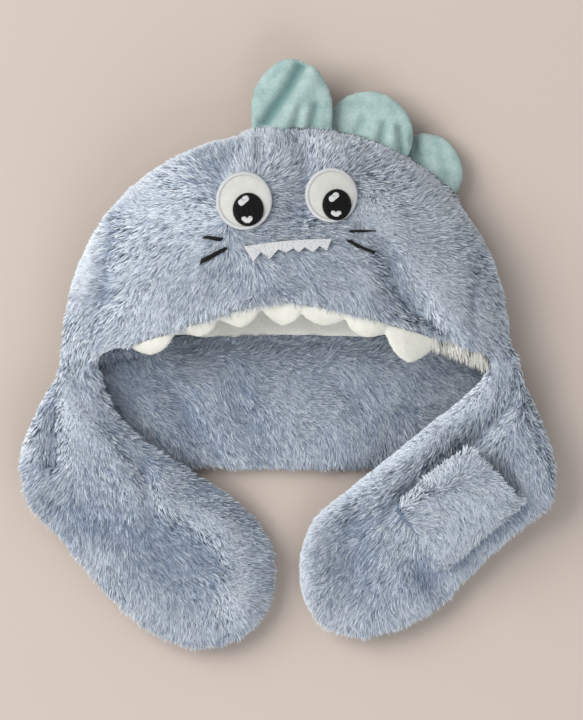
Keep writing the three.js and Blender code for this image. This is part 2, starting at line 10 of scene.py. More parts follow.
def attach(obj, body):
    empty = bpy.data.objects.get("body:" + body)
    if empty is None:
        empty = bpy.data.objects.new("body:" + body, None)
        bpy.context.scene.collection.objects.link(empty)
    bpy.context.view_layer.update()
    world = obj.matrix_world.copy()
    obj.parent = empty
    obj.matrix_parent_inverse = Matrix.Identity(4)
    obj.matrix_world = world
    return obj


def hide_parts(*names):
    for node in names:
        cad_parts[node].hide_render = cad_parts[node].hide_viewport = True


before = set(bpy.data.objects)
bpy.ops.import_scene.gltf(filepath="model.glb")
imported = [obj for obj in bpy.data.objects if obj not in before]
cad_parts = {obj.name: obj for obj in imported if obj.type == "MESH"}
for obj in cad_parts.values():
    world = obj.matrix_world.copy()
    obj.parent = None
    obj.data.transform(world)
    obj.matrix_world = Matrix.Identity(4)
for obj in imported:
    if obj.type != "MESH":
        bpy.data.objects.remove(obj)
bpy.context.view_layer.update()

# Lengths are written in millimetres and turned to metres by MM where Blender takes them.
MM = 0.001
# Corners of a CAD node's triangles this near to each other are one.
WELD = 0.02

# The photograph looks straight down on the hood, which lies face up on the table.
VIEW_CENTRE = (3.0, -5.4)
VIEW_HEIGHT = 432.0
VIEW_PLANE = 25.0
LENS = 400.0
SENSOR = 36.0
FLOOR_SIZE = 9000.0
FLOOR_TINT = (190, 177, 168)
# Soft boxes: name, place, size, power in watts, and colour.
LAMPS = (
    ("key", (-1800, 700, 1900), 2200, 76.0, (1.0, 0.985, 0.965)),
    ("fill", (600, -1900, 1500), 1600, 20.0, (0.96, 0.98, 1.0)),
)
SKY_TINT = (0.95, 0.97, 1.0, 1.0)
SKY_STRENGTH = 0.56

# The pile stands on a backing cloth, which lies this far inside the surface of the solids.
PILE_DEPTH = 3.4
LOOP_DEPTH = 1.5
PILE_LENGTH = 7.6
LOOP_PILE_LENGTH = 6.0
FRINGE_LENGTH = 8.5
STRAND_WIDTH = 0.46
STRANDS_PER_SQUARE_MM = 7.3
# No strand dips below this height over the table.
FLOOR_GAP = 0.25
# Strands are fewer and wider where other cloth lies over them, and on the underside.
COVERED_SHARE = 0.12
COVERED_WIDTH = 2.2
UNDERSIDE_SHARE = 0.25
UNDERSIDE_WIDTH = 1.8
FRINGE_CROWDING = 1.8

# A strand's length varies between these shares. Its rise and its bend are shares of its length
# along the cloth's normal, along the lay and astray.
STRAND_LENGTHS = (0.7, 1.15)
STRAND_RISE = (0.85, 0.4, 0.07)
STRAND_BEND = (-0.44, 0.42, 0.14)
# Strands lean together into tufts, and wander together in waves over the cloth.
TUFT_SIZE = 2.2
TUFT_PULL = 0.2
TUFT_WHIM = 0.07
WHIM_REACH = 6.0
WHIM_SCALE = 230.0
# A strand's tone runs from dark to pale: by chance, by its tuft, by a fine speckle, and by the painted
# light and shade that the skin carries.
TONE_CHANCE = 0.8
TONE_TUFT = 0.1
TONE_SPECKLE = 1.2
SPECKLE_SCALE = 620.0
SPECKLE_MIDDLE = 0.5
# What a strand's shading adds to the cloth's normal: upwards, along the lay and astray.
UPWARD_SHARE = 0.7
LAY_SHARE = 0.3
ASTRAY_SHARE = 0.42
# The pile is several pieces: the crown's front is cut at this distance from the middle.
CROWN_CUT = 40.0
FIRST_SEED = 11
FRINGE_SEED = 21
LOOP_SEED = 22
# What the tree reads on a skin's points, and what it leaves on the strands.
PILE_ATTRIBUTES = (
    "skin_normal", "lay", "pile_length", "pile_density", "pile_width", "painted_light",
)
STRAND_ATTRIBUTES = ("root", "rise", "bend", "across", "corner", "hand", "facing")

# Waves, each with its size in mm, its height and its place in the noise: swirls of the lay,
# whose heights are shares of SWIRL degrees, the unevenness of the cloth, and the lining's.
SWIRL = 40.0
LOOP_SWIRL = 75.0
SWIRLS = ((34.0, 1.0, 3.1), (9.0, 0.9, 7.7))
LUMPS = ((22.0, 0.9, 5.0), (9.0, 0.5, 6.0))
LINING_SWELLS = ((6.0, 0.5, 2.0), (14.0, 0.4, 4.0))
# How smoothly the lay turns from one control point to the next, and how much it hangs down.
LAY_SPREAD = 60.0
LAY_FALL = -0.55

# The plush parts are sewn into one skin, remeshed at this size. It is smoothed more near a seam:
# fully where two parts are within the first distance, and no more beyond the second.
PLUSH_NODES = ("crown_shell", "neck_band", "left_tail", "right_tail")
SKIN_VOXEL = 2.4
SEAM_BLEND = (3.0, 12.0)
SKIN_SMOOTHING = 2
SEAM_SMOOTHING = 24
# Within about this distance of two parts, the folds, tones and lays of both count.
PART_BLEND = 2.0
# Cloth is covered if something lies over it, seen from this far off it along its normal and
# upwards, or if it faces further down than this. The covered patches' rims are then opened
# again by some steps from point to point.
COVER_START = (1.5, 0.5)
COVER_FACING = -0.2
COVER_MARGIN = 3
TOOTH_NODES = [f"tooth_{number}" for number in range(1, 8)]
SPIKE_NODES = [f"spike_{number}" for number in range(1, 4)]
# Rolls of cloth that lead one part into the next: x, y, height of the top and radius.
ROLL_SIDES = 12
ROLLS = (
    ((-126, 22, 33, 8), (-127, 6, 34, 9), (-128, -8, 34, 9.5), (-130, -24, 35, 9.5),
     (-135, -44, 35, 7), (-136, -66, 34, 5)),
    ((-120, 6, 38, 7), (-118, -6, 37, 7), (-118, -20, 37, 8), (-114, -34, 38, 7)),
    ((117, 34, 35, 5), (123, 14, 36, 7.5), (132, -6, 36, 8.5), (136, -24, 36, 9), (141, -44, 36, 7)),
    ((124, 4, 38, 6), (126, -10, 37, 6.5), (124, -22, 38, 7)),
    ((-64, 4, 11.5, 4), (-32, 7, 11.5, 4.5), (0, 8.5, 11.5, 4.5), (32, 7, 11.5, 4.5), (64, 4, 11.5, 4)),
)

# Folds that deepen those of the solids: half width, depth, and the x and y of points along it.
# A negative depth is a ridge.
FOLDS = {
    "crown_shell": (
        (6, 3.4, (-99, 88), (-106, 60), (-109, 36)), (7, -1.8, (-112, 84), (-120, 42)),
        (8, 3.0, (-34, 121), (-41, 95)), (4, 2.0, (-24, 134), (-26, 121)),
        (4, 2.0, (-15, 134), (-15, 115)), (8, 3.0, (8, 130), (12, 112), (4, 82)),
        (9, 4.5, (59, 61), (68, 37), (90, 4)), (9, -2.5, (50, 88), (95, 20)),
        (6, 2.6, (114, 58), (110, 20)), (9, 1.5, (-36, 49), (-6, 37), (23, 53)),
        (14, -2.0, (-82, 25), (-78, 22)), (6, 2.0, (-115, 22), (-100, 37)),
    ),
    "left_tail": (
        (5.5, 3.6, (-143, -10), (-140, -30), (-137.5, -66)), (6, -2.6, (-132, -12), (-129, -66)),
        (7, -3.2, (-126, -38), (-98, -66), (-89, -94)), (7.5, 2.8, (-112, -47), (-88, -71), (-84, -86)),
        (10, 2.8, (-138, -93), (-97, -108)),
        (9, -3.2, (-80, -85), (-38, -107), (-26, -133), (-30, -152)),
        (9, 2.6, (-96, -93), (-62, -106), (-46, -124)), (18, 2.2, (-76, -124), (-58, -145)),
    ),
    "right_tail": (
        (9, -3.0, (120, -23), (15, -98), (8, -125), (12, -160)),
        (6, 1.8, (138, -28), (107, -58), (64.5, -95), (45, -104)), (16, 3.0, (45, -112), (50, -140)),
    ),
    "neck_band": (
        (9, 1.8, (-34, -11), (-16, -53)), (7, 2.4, (-76, -14), (-58, -47)),
        (10, 1.8, (30, -20), (60, -45)), (12, -1.2, (-5, -30), (25, -34)),
        (7, 1.6, (-60, -30), (-44, -60)), (8, 1.6, (88, -12), (70, -34)),
    ),
    "keeper_loop": ((2.0, 1.2, (72, -115), (101, -137)),),
}

# Patches of painted light on the pile, paler with a positive change as painted highlight and darker
# with a negative one as painted shade: x, y, reach and change of tone.
PAINTED_LIGHT_PATCHES = {
    "crown_shell": (
        (-49, 111, 10, -0.16), (1, 122, 9, -0.12), (-112, 12, 9, -0.12), (100, 40, 18, 0.2),
        (62, 92, 14, 0.16), (-120, 70, 14, 0.16), (-30, 22, 16, 0.12), (25, 125, 14, 0.12),
        (90, 85, 20, 0.26), (118, 20, 12, 0.16), (0, 112, 26, 0.12), (-128, 55, 12, 0.25),
    ),
    "neck_band": (
        (-96, -14, 15, -0.28), (-72, -46, 12, -0.14), (-30, -24, 12, -0.08), (62, -46, 12, 0.12),
        (0, -66, 20, 0.08), (90, -24, 12, 0.14),
    ),
    "left_tail": (
        (-152, -50, 12, 0.28), (-126, -90, 9, -0.12), (-82, -118, 16, -0.1), (-140, -92, 12, 0.2),
        (-112, -122, 12, 0.24), (-90, -150, 14, 0.26), (-62, -162, 20, 0.22), (-30, -150, 12, 0.2),
        (-52, -84, 13, -0.1), (-118, -30, 10, 0.12),
    ),
    "right_tail": (
        (45, -126, 14, -0.02), (80, -133, 9, -0.42), (140, -60, 14, -0.05), (30, -165, 16, 0.2),
        (120, -118, 12, 0.14), (70, -160, 14, 0.16), (6, -140, 10, 0.16),
    ),
}
# Painted light in the pile's tone: a share for each part, the neck band's darker as painted shade;
# paler rims as painted highlight; and painted shade in folds and around the keeper loop.
NODE_PAINTED_LIGHT = {"crown_shell": 0.08, "neck_band": -0.06, "left_tail": -0.05, "right_tail": 0.02}
RIM_HIGHLIGHT = 0.42
RIM_POWER = 1.5
FOLD_SHADE = 0.075
LOOP_SHADE = 0.35
LOOP_PAINTED_LIGHT = (0.16, 0.2)

# Facings, as the upward part of the normal: where folds start and are full, where the underside
# ends, where the pile grows from its steep length to its whole one, and the back of the crown.
TOP_FACINGS = (0.0, 0.5)
UNDERSIDE_FACINGS = (-0.55, -0.25)
STEEP_FACINGS = (0.1, 0.85)
BACK_FACING = -0.35

# Distances from a part over which the skin or its pile changes, and shares of its length, depth
# or number of strands that are left or added there.
LINING_SINK = (2.0, 8.0)
LINING_BARE = (2.5, 4.5)
TOOTH_REACH = (2.0, 7.0)
CREST_REACH = (1.0, 9.0)
LOOP_REACH = (1.5, 7.0)
SHALLOW_LENGTH = 0.35
STEEP_LENGTH = 0.52
TOOTH_SINK_CUT = 0.45
CREST_SINK_CUT = 0.55
CREST_GROWTH = 0.45
LIP_SHARE = 0.3
FACE_EDGES = (
    # node, distances at which the pile starts and is full
    ("left_eye", 0.2, 0.9), ("right_eye", 0.2, 0.9), ("mouth_patch", 0.2, 0.9),
    ("whisker_1", 0.0, 0.3), ("whisker_2", 0.0, 0.3), ("whisker_3", 0.0, 0.3),
    ("whisker_4", 0.0, 0.3), ("keeper_loop", 0.5, 1.6),
)

# The stretch of the lip where the lining's pile hangs out: its ends in x, its lowest point, the
# line that it stays under (x and y of a point, and the slope), its facings and its lay.
LIP_ENDS = (87.0, 120.0)
LIP_FLOOR = 20.0
LIP_LINE = (88.0, 11.0, -0.27)
LIP_FACINGS = (-0.15, 0.75)
FRINGE_LAY = (0.2, -1.0, -0.15)

# Which way the pile lies, seen from above: x, y, and the direction that the tips point.
CROWN_LAY = (
    (-90, 105, -0.8, 0.4), (-40, 128, -0.5, 0.8), (0, 132, 0.1, 1.0), (45, 128, 0.5, 0.9),
    (95, 95, 0.9, 0.4), (-120, 50, -0.9, -0.4), (-85, 55, -0.6, -0.8), (-60, 95, -0.9, -0.2),
    (-25, 118, -0.2, 1.0), (-45, 115, -0.9, 0.3), (25, 115, 0.8, 0.6), (65, 105, 0.9, 0.1),
    (-10, 133, -0.1, 1.0), (20, 132, 0.1, 1.0), (60, 122, 0.4, 1.0), (80, 110, 0.6, 0.9),
    (-72, 8, -0.3, -1.0), (-40, 26, 0.0, -1.0), (0, 34, 0.2, -1.0), (40, 28, 0.4, -1.0),
    (76, 12, 0.4, -1.0),
    (-100, 10, -0.5, -0.9), (-60, 30, -0.4, -0.9), (-130, 0, -0.2, -1.0),
    (0, 95, 0.9, 0.1), (0, 110, 0.6, 0.8),
    (0, 80, 0.9, -0.3), (0, 40, 0.8, -0.4), (50, 90, 0.6, -0.8), (60, 60, 0.7, -0.7),
    (95, 60, 1.0, -0.1), (110, 20, 0.7, -0.7), (70, 25, 0.8, -0.6), (40, 35, 0.9, -0.5),
    (90, 5, 0.3, -1.0), (128, 0, 0.2, -1.0), (112, -2, 0.1, -1.0), (-30, 35, -0.2, -1.0),
)
BAND_LAY = (
    (-100, -10, 0.3, -0.9), (-70, -40, 0.6, -0.8), (-30, -15, 0.5, -0.9), (-10, -50, 0.4, -0.9),
    (0, -20, 0.9, -0.4), (40, -10, 0.8, -0.6), (50, -50, 0.5, -0.9), (90, -15, 0.7, -0.7),
    (20, -68, 0.2, -1.0), (-50, 6, 0.5, 0.6), (-20, 8, 0.5, 0.5), (20, 8, 0.5, 0.5), (50, 6, 0.5, 0.5),
)
LEFT_TAIL_LAY = (
    (-140, -30, -0.4, -0.9), (-150, -70, -0.5, -0.8), (-110, -20, 0.5, -0.8),
    (-110, -60, 0.5, -0.8), (-80, -45, 0.8, 0.1), (-55, -70, 0.9, -0.1), (-100, -100, 0.2, -1.0),
    (-120, -120, -0.5, -0.9), (-60, -105, 0.8, -0.5), (-40, -120, 0.9, -0.5),
    (-70, -140, 0.5, -0.9), (-50, -165, 0.2, -1.0), (-95, -150, -0.4, -0.9), (-25, -140, 0.9, -0.4),
)
RIGHT_TAIL_LAY = (
    (130, -20, -0.3, -0.9), (150, -60, 0.4, -0.9), (100, -30, -0.7, -0.5), (60, -70, -0.8, -0.3),
    (30, -100, -0.8, -0.2), (15, -130, -0.9, -0.2), (60, -120, -0.4, -0.9), (40, -150, -0.5, -0.9),
    (80, -140, 0.1, -1.0), (110, -120, 0.5, -0.9), (140, -90, 0.6, -0.8), (60, -165, 0.0, -1.0),
    (110, -60, -0.3, -0.8),
)
LOOP_LAY = (
    (110, -60, 0.6, 0.6), (80, -90, 0.7, -0.6), (100, -90, 0.8, -0.4), (120, -85, 0.8, -0.5),
    (95, -115, 0.1, -1.0), (90, -75, -0.2, 0.8),
)
PILE_LAYS = {
    "crown_shell": CROWN_LAY, "neck_band": BAND_LAY,
    "left_tail": LEFT_TAIL_LAY, "right_tail": RIGHT_TAIL_LAY,
}

# Teeth and spikes are stuffed: the voxel of the cloth, the pressure in it and the most that a
# point may move. A tooth is first made wider, by one factor at its tip and one at its base.
STUFFING_FRAMES = 20
TOOTH_STUFFING = {"voxel": 1.1, "pressure": 3.0, "most": 0.7}
SPIKE_STUFFING = {"voxel": 1.6, "pressure": 4.0, "most": 1.6}
TOOTH_FLARE = (1.05, 1.15)
# Creases of the spikes' top cloth: half width, depth, and x and y of points along it.
SPIKE_CREASES = (
    (3.8, 4.4, (9, 172), (0, 156), (-14, 136)), (5.0, -2.6, (16, 166), (-2, 136)),
    (2.6, 2.8, (18, 147), (15, 134)), (2.4, 2.0, (8, 146), (5, 134)),
    (2.4, -1.2, (13, 147), (10, 134)), (2.4, 2.2, (59, 136), (56, 124)),
    (2.4, 2.4, (68, 134), (70, 120)), (2.6, -1.2, (64, 134), (64, 121)),
    (2.6, 1.4, (46, 139), (42, 131)), (3.0, 1.6, (76, 127), (80, 113)),
    (3.0, 1.2, (94, 118), (96, 106)),
)
CREASE_FACINGS = (0.0, 0.4)
# The crease depth at which the painted shade in it is darkest.
DARKEST_CREASE = 5.0

# The lining's lower edge comes this far forward over the neck band, more or less by a wave. The
# move fades out between these values of y and these distances from the middle, and what lies
# above the ceiling stays.
LINING_REACH = 2.8
LINING_EDGE = (12.0, 34.0)
LINING_SIDES = (48.0, 66.0)
LINING_CEILING = 20.0
LINING_WAVE = (13.0, 0.5, 9.0)

# Embroidery: each stitch is an edge of a carrier mesh, which the thread tree makes round. Rows
# fill a shape, satin stitches cross a stroke, and a ring of stitches crosses an oval's edge.
THREAD = 0.36
WHISKER_THREAD = 0.5
GLINT_THREAD = 0.46
STITCH_STEPS = 4
CAST_HEIGHT = 200.0
STITCH_LIFT = 0.1
GLINT_LIFT = 0.4
STITCH_RISE = 0.3
BORDER_RISE = 0.55
ROW_PITCH = 0.4
ROW_STEP = 0.2
ROW_STITCH = 3.2
SHORTEST_STITCH = 0.5
GLINT_ROWS = {"turn": 60.0, "pitch": 0.3, "length": 4.0}
PUPIL_TURN = 8.0
PUPIL_FILL = 0.93
SATIN_PITCH = 0.36
SATIN_SLANT = 50.0
SATIN_REACH = 0.95
SATIN_RAGGED = 0.35
EYE_BORDER = {"inner": -2.6, "outer": -0.35, "pitch": 0.34, "lean": 0.012}
PUPIL_BORDER = {"inner": -1.3, "outer": 0.25, "pitch": 0.42, "lean": 0.03}
EYES = (
    # centre x and y, half width, half height, pupil centre x and y, half width, half height
    ("left_eye", "left_pupil", -25.3, 89.5, 17.1, 17.8, -22.8, 84.2, 9.1, 9.9),
    ("right_eye", "right_pupil", 26.8, 92.9, 16.0, 16.7, 30.0, 87.0, 8.5, 9.3),
)
# White glints in each pupil, as capsules from its centre: x and y of two ends, and radius.
GLINTS = (
    ((-4.1, 3.9, -1.4, 6.3, 1.9), (-2.4, -5.8, -2.1, -6.0, 1.5), (1.1, -5.8, 1.2, -5.6, 1.5),
     (-1.2, -6.9, 0.2, -6.9, 1.4)),
    ((-3.1, 3.3, -0.5, 5.6, 1.8), (-2.2, -5.0, -2.0, -5.1, 1.4), (1.1, -5.0, 1.2, -4.9, 1.4),
     (-1.0, -6.0, 0.2, -6.0, 1.3)),
)
# Whiskers: x and y of both ends and the half width at each.
WHISKERS = {
    "whisker_1": ((-49.3, 67.7, -38.4, 66.2, 0.9, 1.2),),
    "whisker_2": ((-51.1, 53.1, -35.5, 60.7, 1.6, 0.9),),
    "whisker_3": ((38.1, 71.1, 53.1, 71.4, 0.8, 0.5),),
    "whisker_4": ((37.4, 65.8, 42.6, 62.1, 1.1, 0.9), (42.6, 62.1, 53.1, 58.8, 0.9, 0.6)),
}


class Tree:
    """A Geometry Nodes tree with named inputs, and short calls for the nodes used here."""

    def __init__(self, name, inputs):
        self.group = bpy.data.node_groups.new(name, "GeometryNodeTree")
        face = self.group.interface
        face.new_socket("Geometry", in_out="INPUT", socket_type="NodeSocketGeometry")
        self.identifiers = {}
        for label, kind in inputs:
            socket = face.new_socket(label, in_out="INPUT", socket_type="NodeSocket" + kind)
            self.identifiers[label] = socket.identifier
        face.new_socket("Geometry", in_out="OUTPUT", socket_type="NodeSocketGeometry")
        self.entry = self.group.nodes.new("NodeGroupInput")
        self.exit = self.group.nodes.new("NodeGroupOutput")

    def given(self, label):
        return self.entry.outputs[label]

    def node(self, kind, inputs, **settings):
        made = self.group.nodes.new(kind)
        for key, value in settings.items():
            setattr(made, key, value)
        for key, value in inputs.items():
            if isinstance(key, int):
                target = made.inputs[key]
            else:
                target = next(s for s in made.inputs if s.enabled and s.name == key)
            if isinstance(value, bpy.types.NodeSocket):
                self.group.links.new(value, target)
            else:
                target.default_value = value
        return made

    def math(self, operation, first, second=0.0):
        return self.node("ShaderNodeMath", {0: first, 1: second}, operation=operation).outputs[0]

    def vector(self, operation, first, second=(0.0, 0.0, 0.0)):
        made = self.node("ShaderNodeVectorMath", {0: first, 1: second}, operation=operation)
        return made.outputs[1 if operation in ("DOT_PRODUCT", "LENGTH") else 0]

    def scaled(self, vector, factor):
        made = self.node("ShaderNodeVectorMath", {0: vector, 3: factor}, operation="SCALE")
        return made.outputs[0]

    def total(self, *vectors):
        added = vectors[0]
        for vector in vectors[1:]:
            added = self.vector("ADD", added, vector)
        return added

    def attribute(self, name, kind="FLOAT"):
        made = self.node("GeometryNodeInputNamedAttribute", {"Name": name}, data_type=kind)
        return next(s for s in made.outputs if s.enabled and s.name == "Attribute")

    def store(self, geometry, name, value, kind="FLOAT"):
        made = self.node(
            "GeometryNodeStoreNamedAttribute",
            {"Geometry": geometry, "Name": name},
            data_type=kind,
            domain="POINT",
        )
        target = next(s for s in made.inputs if s.enabled and s.name == "Value")
        self.group.links.new(value, target)
        return made.outputs[0]

    def random(self, low, high, seed):
        made = self.node(
            "FunctionNodeRandomValue", {2: low, 3: high, 8: seed}, data_type="FLOAT"
        )
        return made.outputs[1]

    def random_vector(self, seed):
        made = self.node(
            "FunctionNodeRandomValue",
            {0: (-1.0, -1.0, -1.0), 1: (1.0, 1.0, 1.0), 8: seed},
            data_type="FLOAT_VECTOR",
        )
        return made.outputs[0]

    def finish(self, geometry, material):
        made = self.node("GeometryNodeSetMaterial", {"Geometry": geometry, "Material": material})
        self.group.links.new(made.outputs[0], self.exit.inputs[0])


def grow(tree, carrier, values, name):
    """Runs a tree on a carrier object and returns the result as a plain mesh object."""
    modifier = carrier.modifiers.new(tree.group.name, "NODES")
    modifier.node_group = tree.group
    for label, value in values.items():
        modifier[tree.identifiers[label]] = value
    carrier.update_tag()
    depsgraph = bpy.context.evaluated_depsgraph_get()
    mesh = bpy.data.meshes.new_from_object(carrier.evaluated_get(depsgraph))
    carrier.modifiers.remove(modifier)
    mesh.name = name
    piece = bpy.data.objects.new(name, mesh)
    bpy.context.scene.collection.objects.link(piece)
    return piece


def pile_tree():
    """Fur: single triangles, widest halfway up on one side, which rise from the backing, bend
    over along the lay and lean together into tufts."""
    tree = Tree("pile", [
        ("Strands per square metre", "Float"), ("Length", "Float"), ("Width", "Float"),
        ("Tuft size", "Float"), ("Tuft pull", "Float"), ("Tuft whim", "Float"),
        ("Floor height", "Float"), ("Seed", "Int"), ("Finish", "Material"),
    ])
    seed = tree.given("Seed")
    density = tree.math(
        "MULTIPLY", tree.attribute("pile_density"), tree.given("Strands per square metre")
    )
    scatter = tree.node(
        "GeometryNodeDistributePointsOnFaces",
        {"Mesh": tree.given("Geometry"), "Density": density, "Seed": seed},
        distribute_method="RANDOM",
    )
    place = tree.node("GeometryNodeInputPosition", {}).outputs[0]
    normal = tree.vector("NORMALIZE", tree.attribute("skin_normal", "FLOAT_VECTOR"))
    lay = tree.vector("NORMALIZE", tree.attribute("lay", "FLOAT_VECTOR"))
    length = tree.math("MULTIPLY", tree.given("Length"), tree.attribute("pile_length"))
    length = tree.math("MULTIPLY", length, tree.random(*STRAND_LENGTHS, tree.math("ADD", seed, 1)))
    cells = tree.node(
        "ShaderNodeTexVoronoi",
        {"Vector": place, "Scale": tree.math("DIVIDE", 1.0, tree.given("Tuft size"))},
        voronoi_dimensions="3D",
    )
    inward = tree.vector("SUBTRACT", cells.outputs["Position"], place)
    lift = tree.vector("DOT_PRODUCT", inward, normal)
    inward = tree.vector("SUBTRACT", inward, tree.scaled(normal, lift))
    inward = tree.scaled(inward, tree.given("Tuft pull"))
    waves = tree.node("ShaderNodeTexNoise", {"Vector": place, "Scale": WHIM_SCALE, "Detail": 1.0})
    whim = tree.vector("SUBTRACT", waves.outputs["Color"], (0.5, 0.5, 0.5))
    whim = tree.scaled(whim, tree.math("MULTIPLY", length, WHIM_REACH))
    whim = tree.scaled(whim, tree.given("Tuft whim"))
    astray = tree.scaled(tree.random_vector(tree.math("ADD", seed, 2)), length)
    rise = tree.total(
        tree.scaled(normal, tree.math("MULTIPLY", length, STRAND_RISE[0])),
        tree.scaled(lay, tree.math("MULTIPLY", length, STRAND_RISE[1])),
        tree.scaled(astray, STRAND_RISE[2]),
    )
    bend = tree.total(
        tree.scaled(normal, tree.math("MULTIPLY", length, STRAND_BEND[0])),
        tree.scaled(lay, tree.math("MULTIPLY", length, STRAND_BEND[1])),
        tree.scaled(astray, STRAND_BEND[2]),
        inward,
        whim,
    )
    across = tree.vector("CROSS_PRODUCT", tree.vector("ADD", rise, bend), normal)
    across = tree.scaled(
        tree.vector("NORMALIZE", across),
        tree.math("MULTIPLY", tree.given("Width"), tree.attribute("pile_width")),
    )
    speckles = tree.node(
        "ShaderNodeTexNoise", {"Vector": place, "Scale": SPECKLE_SCALE, "Detail": 1.0}
    )
    tuft = tree.node("ShaderNodeSeparateXYZ", {0: cells.outputs["Color"]}).outputs[0]
    tone = tree.math(
        "ADD",
        tree.math("MULTIPLY", tree.random(0.0, 1.0, tree.math("ADD", seed, 3)), TONE_CHANCE),
        tree.math("MULTIPLY", tuft, TONE_TUFT),
    )
    speckle = tree.math("MULTIPLY", speckles.outputs[0], TONE_SPECKLE)
    speckle = tree.math("SUBTRACT", speckle, SPECKLE_MIDDLE)
    tone = tree.math("ADD", tone, speckle)
    # The painted light and shade on the skin joins each strand's tone.
    tone = tree.math("ADD", tone, tree.attribute("painted_light"))
    facing = tree.vector("NORMALIZE", tree.total(
        normal,
        (0.0, 0.0, UPWARD_SHARE),
        tree.scaled(lay, LAY_SHARE),
        tree.scaled(tree.random_vector(tree.math("ADD", seed, 4)), ASTRAY_SHARE),
    ))
    points = scatter.outputs["Points"]
    for name, value in (
        ("root", place), ("rise", rise), ("bend", bend), ("across", across), ("facing", facing),
    ):
        points = tree.store(points, name, value, "FLOAT_VECTOR")
    points = tree.store(points, "tone", tone)
    hand = tree.math("GREATER_THAN", tree.random(0.0, 1.0, tree.math("ADD", seed, 5)), 0.5)
    points = tree.store(points, "hand", hand)

    # Corners 0, 1 and 2 of a blade are its root, side and tip, or its tip, side and root where
    # the hand is 1, so that the side bulges left or right and every face looks the same way.
    blade = tree.node("GeometryNodeMeshCircle", {"Vertices": 3}, fill_type="NGON")
    number = tree.node("GeometryNodeInputIndex", {}).outputs[0]
    blade = tree.store(blade.outputs[0], "corner", tree.math("MULTIPLY", number, 0.5))
    strands = tree.node("GeometryNodeInstanceOnPoints", {"Points": points, "Instance": blade})
    strands = tree.node("GeometryNodeRealizeInstances", {"Geometry": strands.outputs[0]})
    corner, hand = tree.attribute("corner"), tree.attribute("hand")
    reach = tree.math("ABSOLUTE", tree.math("SUBTRACT", hand, corner))
    bulge = tree.math("SUBTRACT", 1.0, tree.math("ABSOLUTE", tree.math(
        "SUBTRACT", tree.math("MULTIPLY", corner, 2.0), 1.0
    )))
    side = tree.math("MULTIPLY", bulge, tree.math("SUBTRACT", 0.5, hand))
    blades = tree.store(strands.outputs[0], "reach", reach)
    target = tree.total(
        tree.attribute("root", "FLOAT_VECTOR"),
        tree.scaled(tree.attribute("rise", "FLOAT_VECTOR"), reach),
        tree.scaled(tree.attribute("bend", "FLOAT_VECTOR"), tree.math("MULTIPLY", reach, reach)),
        tree.scaled(tree.attribute("across", "FLOAT_VECTOR"), tree.math("MULTIPLY", side, 2.0)),
    )
    split = tree.node("ShaderNodeSeparateXYZ", {0: target})
    above = tree.node("ShaderNodeCombineXYZ", {
        0: split.outputs[0],
        1: split.outputs[1],
        2: tree.math("MAXIMUM", split.outputs[2], tree.given("Floor height")),
    })
    strands = tree.node(
        "GeometryNodeSetPosition", {"Geometry": blades, "Position": above.outputs[0]}
    )
    tree.finish(strands.outputs[0], tree.given("Finish"))
    return tree


def new_piece(name, mesh, material=None):
    piece = bpy.data.objects.new(name, mesh)
    bpy.context.scene.collection.objects.link(piece)
    if material:
        mesh.materials.clear()
        mesh.materials.append(material)
    return piece


def smooth(mesh):
    mesh.polygons.foreach_set("use_smooth", [True] * len(mesh.polygons))


def merged_copy(node):
    """A welded copy of a CAD node's mesh."""
    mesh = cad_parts[node].data.copy()
    mesh.materials.clear()
    shape = bmesh.new()
    shape.from_mesh(mesh)
    bmesh.ops.remove_doubles(shape, verts=shape.verts, dist=WELD * MM)
    for layer in list(shape.loops.layers.uv):
        shape.loops.layers.uv.remove(layer)
    shape.to_mesh(mesh)
    shape.free()
    return mesh


def after_modifier(mesh, kind, **settings):
    """The mesh after one modifier, as a new mesh."""
    holder = new_piece("holder", mesh)
    modifier = holder.modifiers.new(kind, kind)
    for key, value in settings.items():
        setattr(modifier, key, value)
    depsgraph = bpy.context.evaluated_depsgraph_get()
    changed = bpy.data.meshes.new_from_object(holder.evaluated_get(depsgraph))
    bpy.data.objects.remove(holder)
    return changed


def subdivided(mesh, levels):
    return after_modifier(mesh, "SUBSURF", levels=levels, render_levels=levels)


def vectors(items, field):
    """One vector field of a mesh's vertices or faces, as rows."""
    values = np.empty(len(items) * 3)
    items.foreach_get(field, values)
    return values.reshape(-1, 3)


def corners(mesh):
    return vectors(mesh.vertices, "co")


def normals(mesh):
    return vectors(mesh.vertices, "normal")


def move_corners(mesh, places):
    mesh.vertices.foreach_set("co", np.asarray(places, dtype=np.float32).ravel())
    mesh.update()


def write_attribute(mesh, name, values, kind="FLOAT"):
    layer = mesh.attributes.new(name, kind, "POINT")
    field = "vector" if kind == "FLOAT_VECTOR" else "value"
    layer.data.foreach_set(field, np.asarray(values, dtype=np.float32).ravel())


def forget(mesh, names):
    """Removes the attributes that only the making of a piece needed."""
    for name in names:
        if name in mesh.attributes:
            mesh.attributes.remove(mesh.attributes[name])


def unit(rows):
    return rows / np.maximum(np.linalg.norm(rows, axis=1, keepdims=True), 1e-9)


def between(low, high, share):
    return low + (high - low) * share


def step_up(values, low, high):
    """0 up to the low value, 1 from the high one, and a soft step between them."""
    share = np.clip((values - low) / (high - low), 0.0, 1.0)
    return share * share * (3.0 - 2.0 * share)


def ripple(places, size, offset=0.0):
    """Smooth noise from -1 to 1 at each place, with features of about this size in mm."""
    factor = 1.0 / (size * MM)
    shift = Vector((offset, offset * 0.7, -offset))
    return np.array([noise.noise(Vector(place) * factor + shift) for place in places])


def ripples(places, waves):
    return sum(height * ripple(places, size, offset) for size, height, offset in waves)


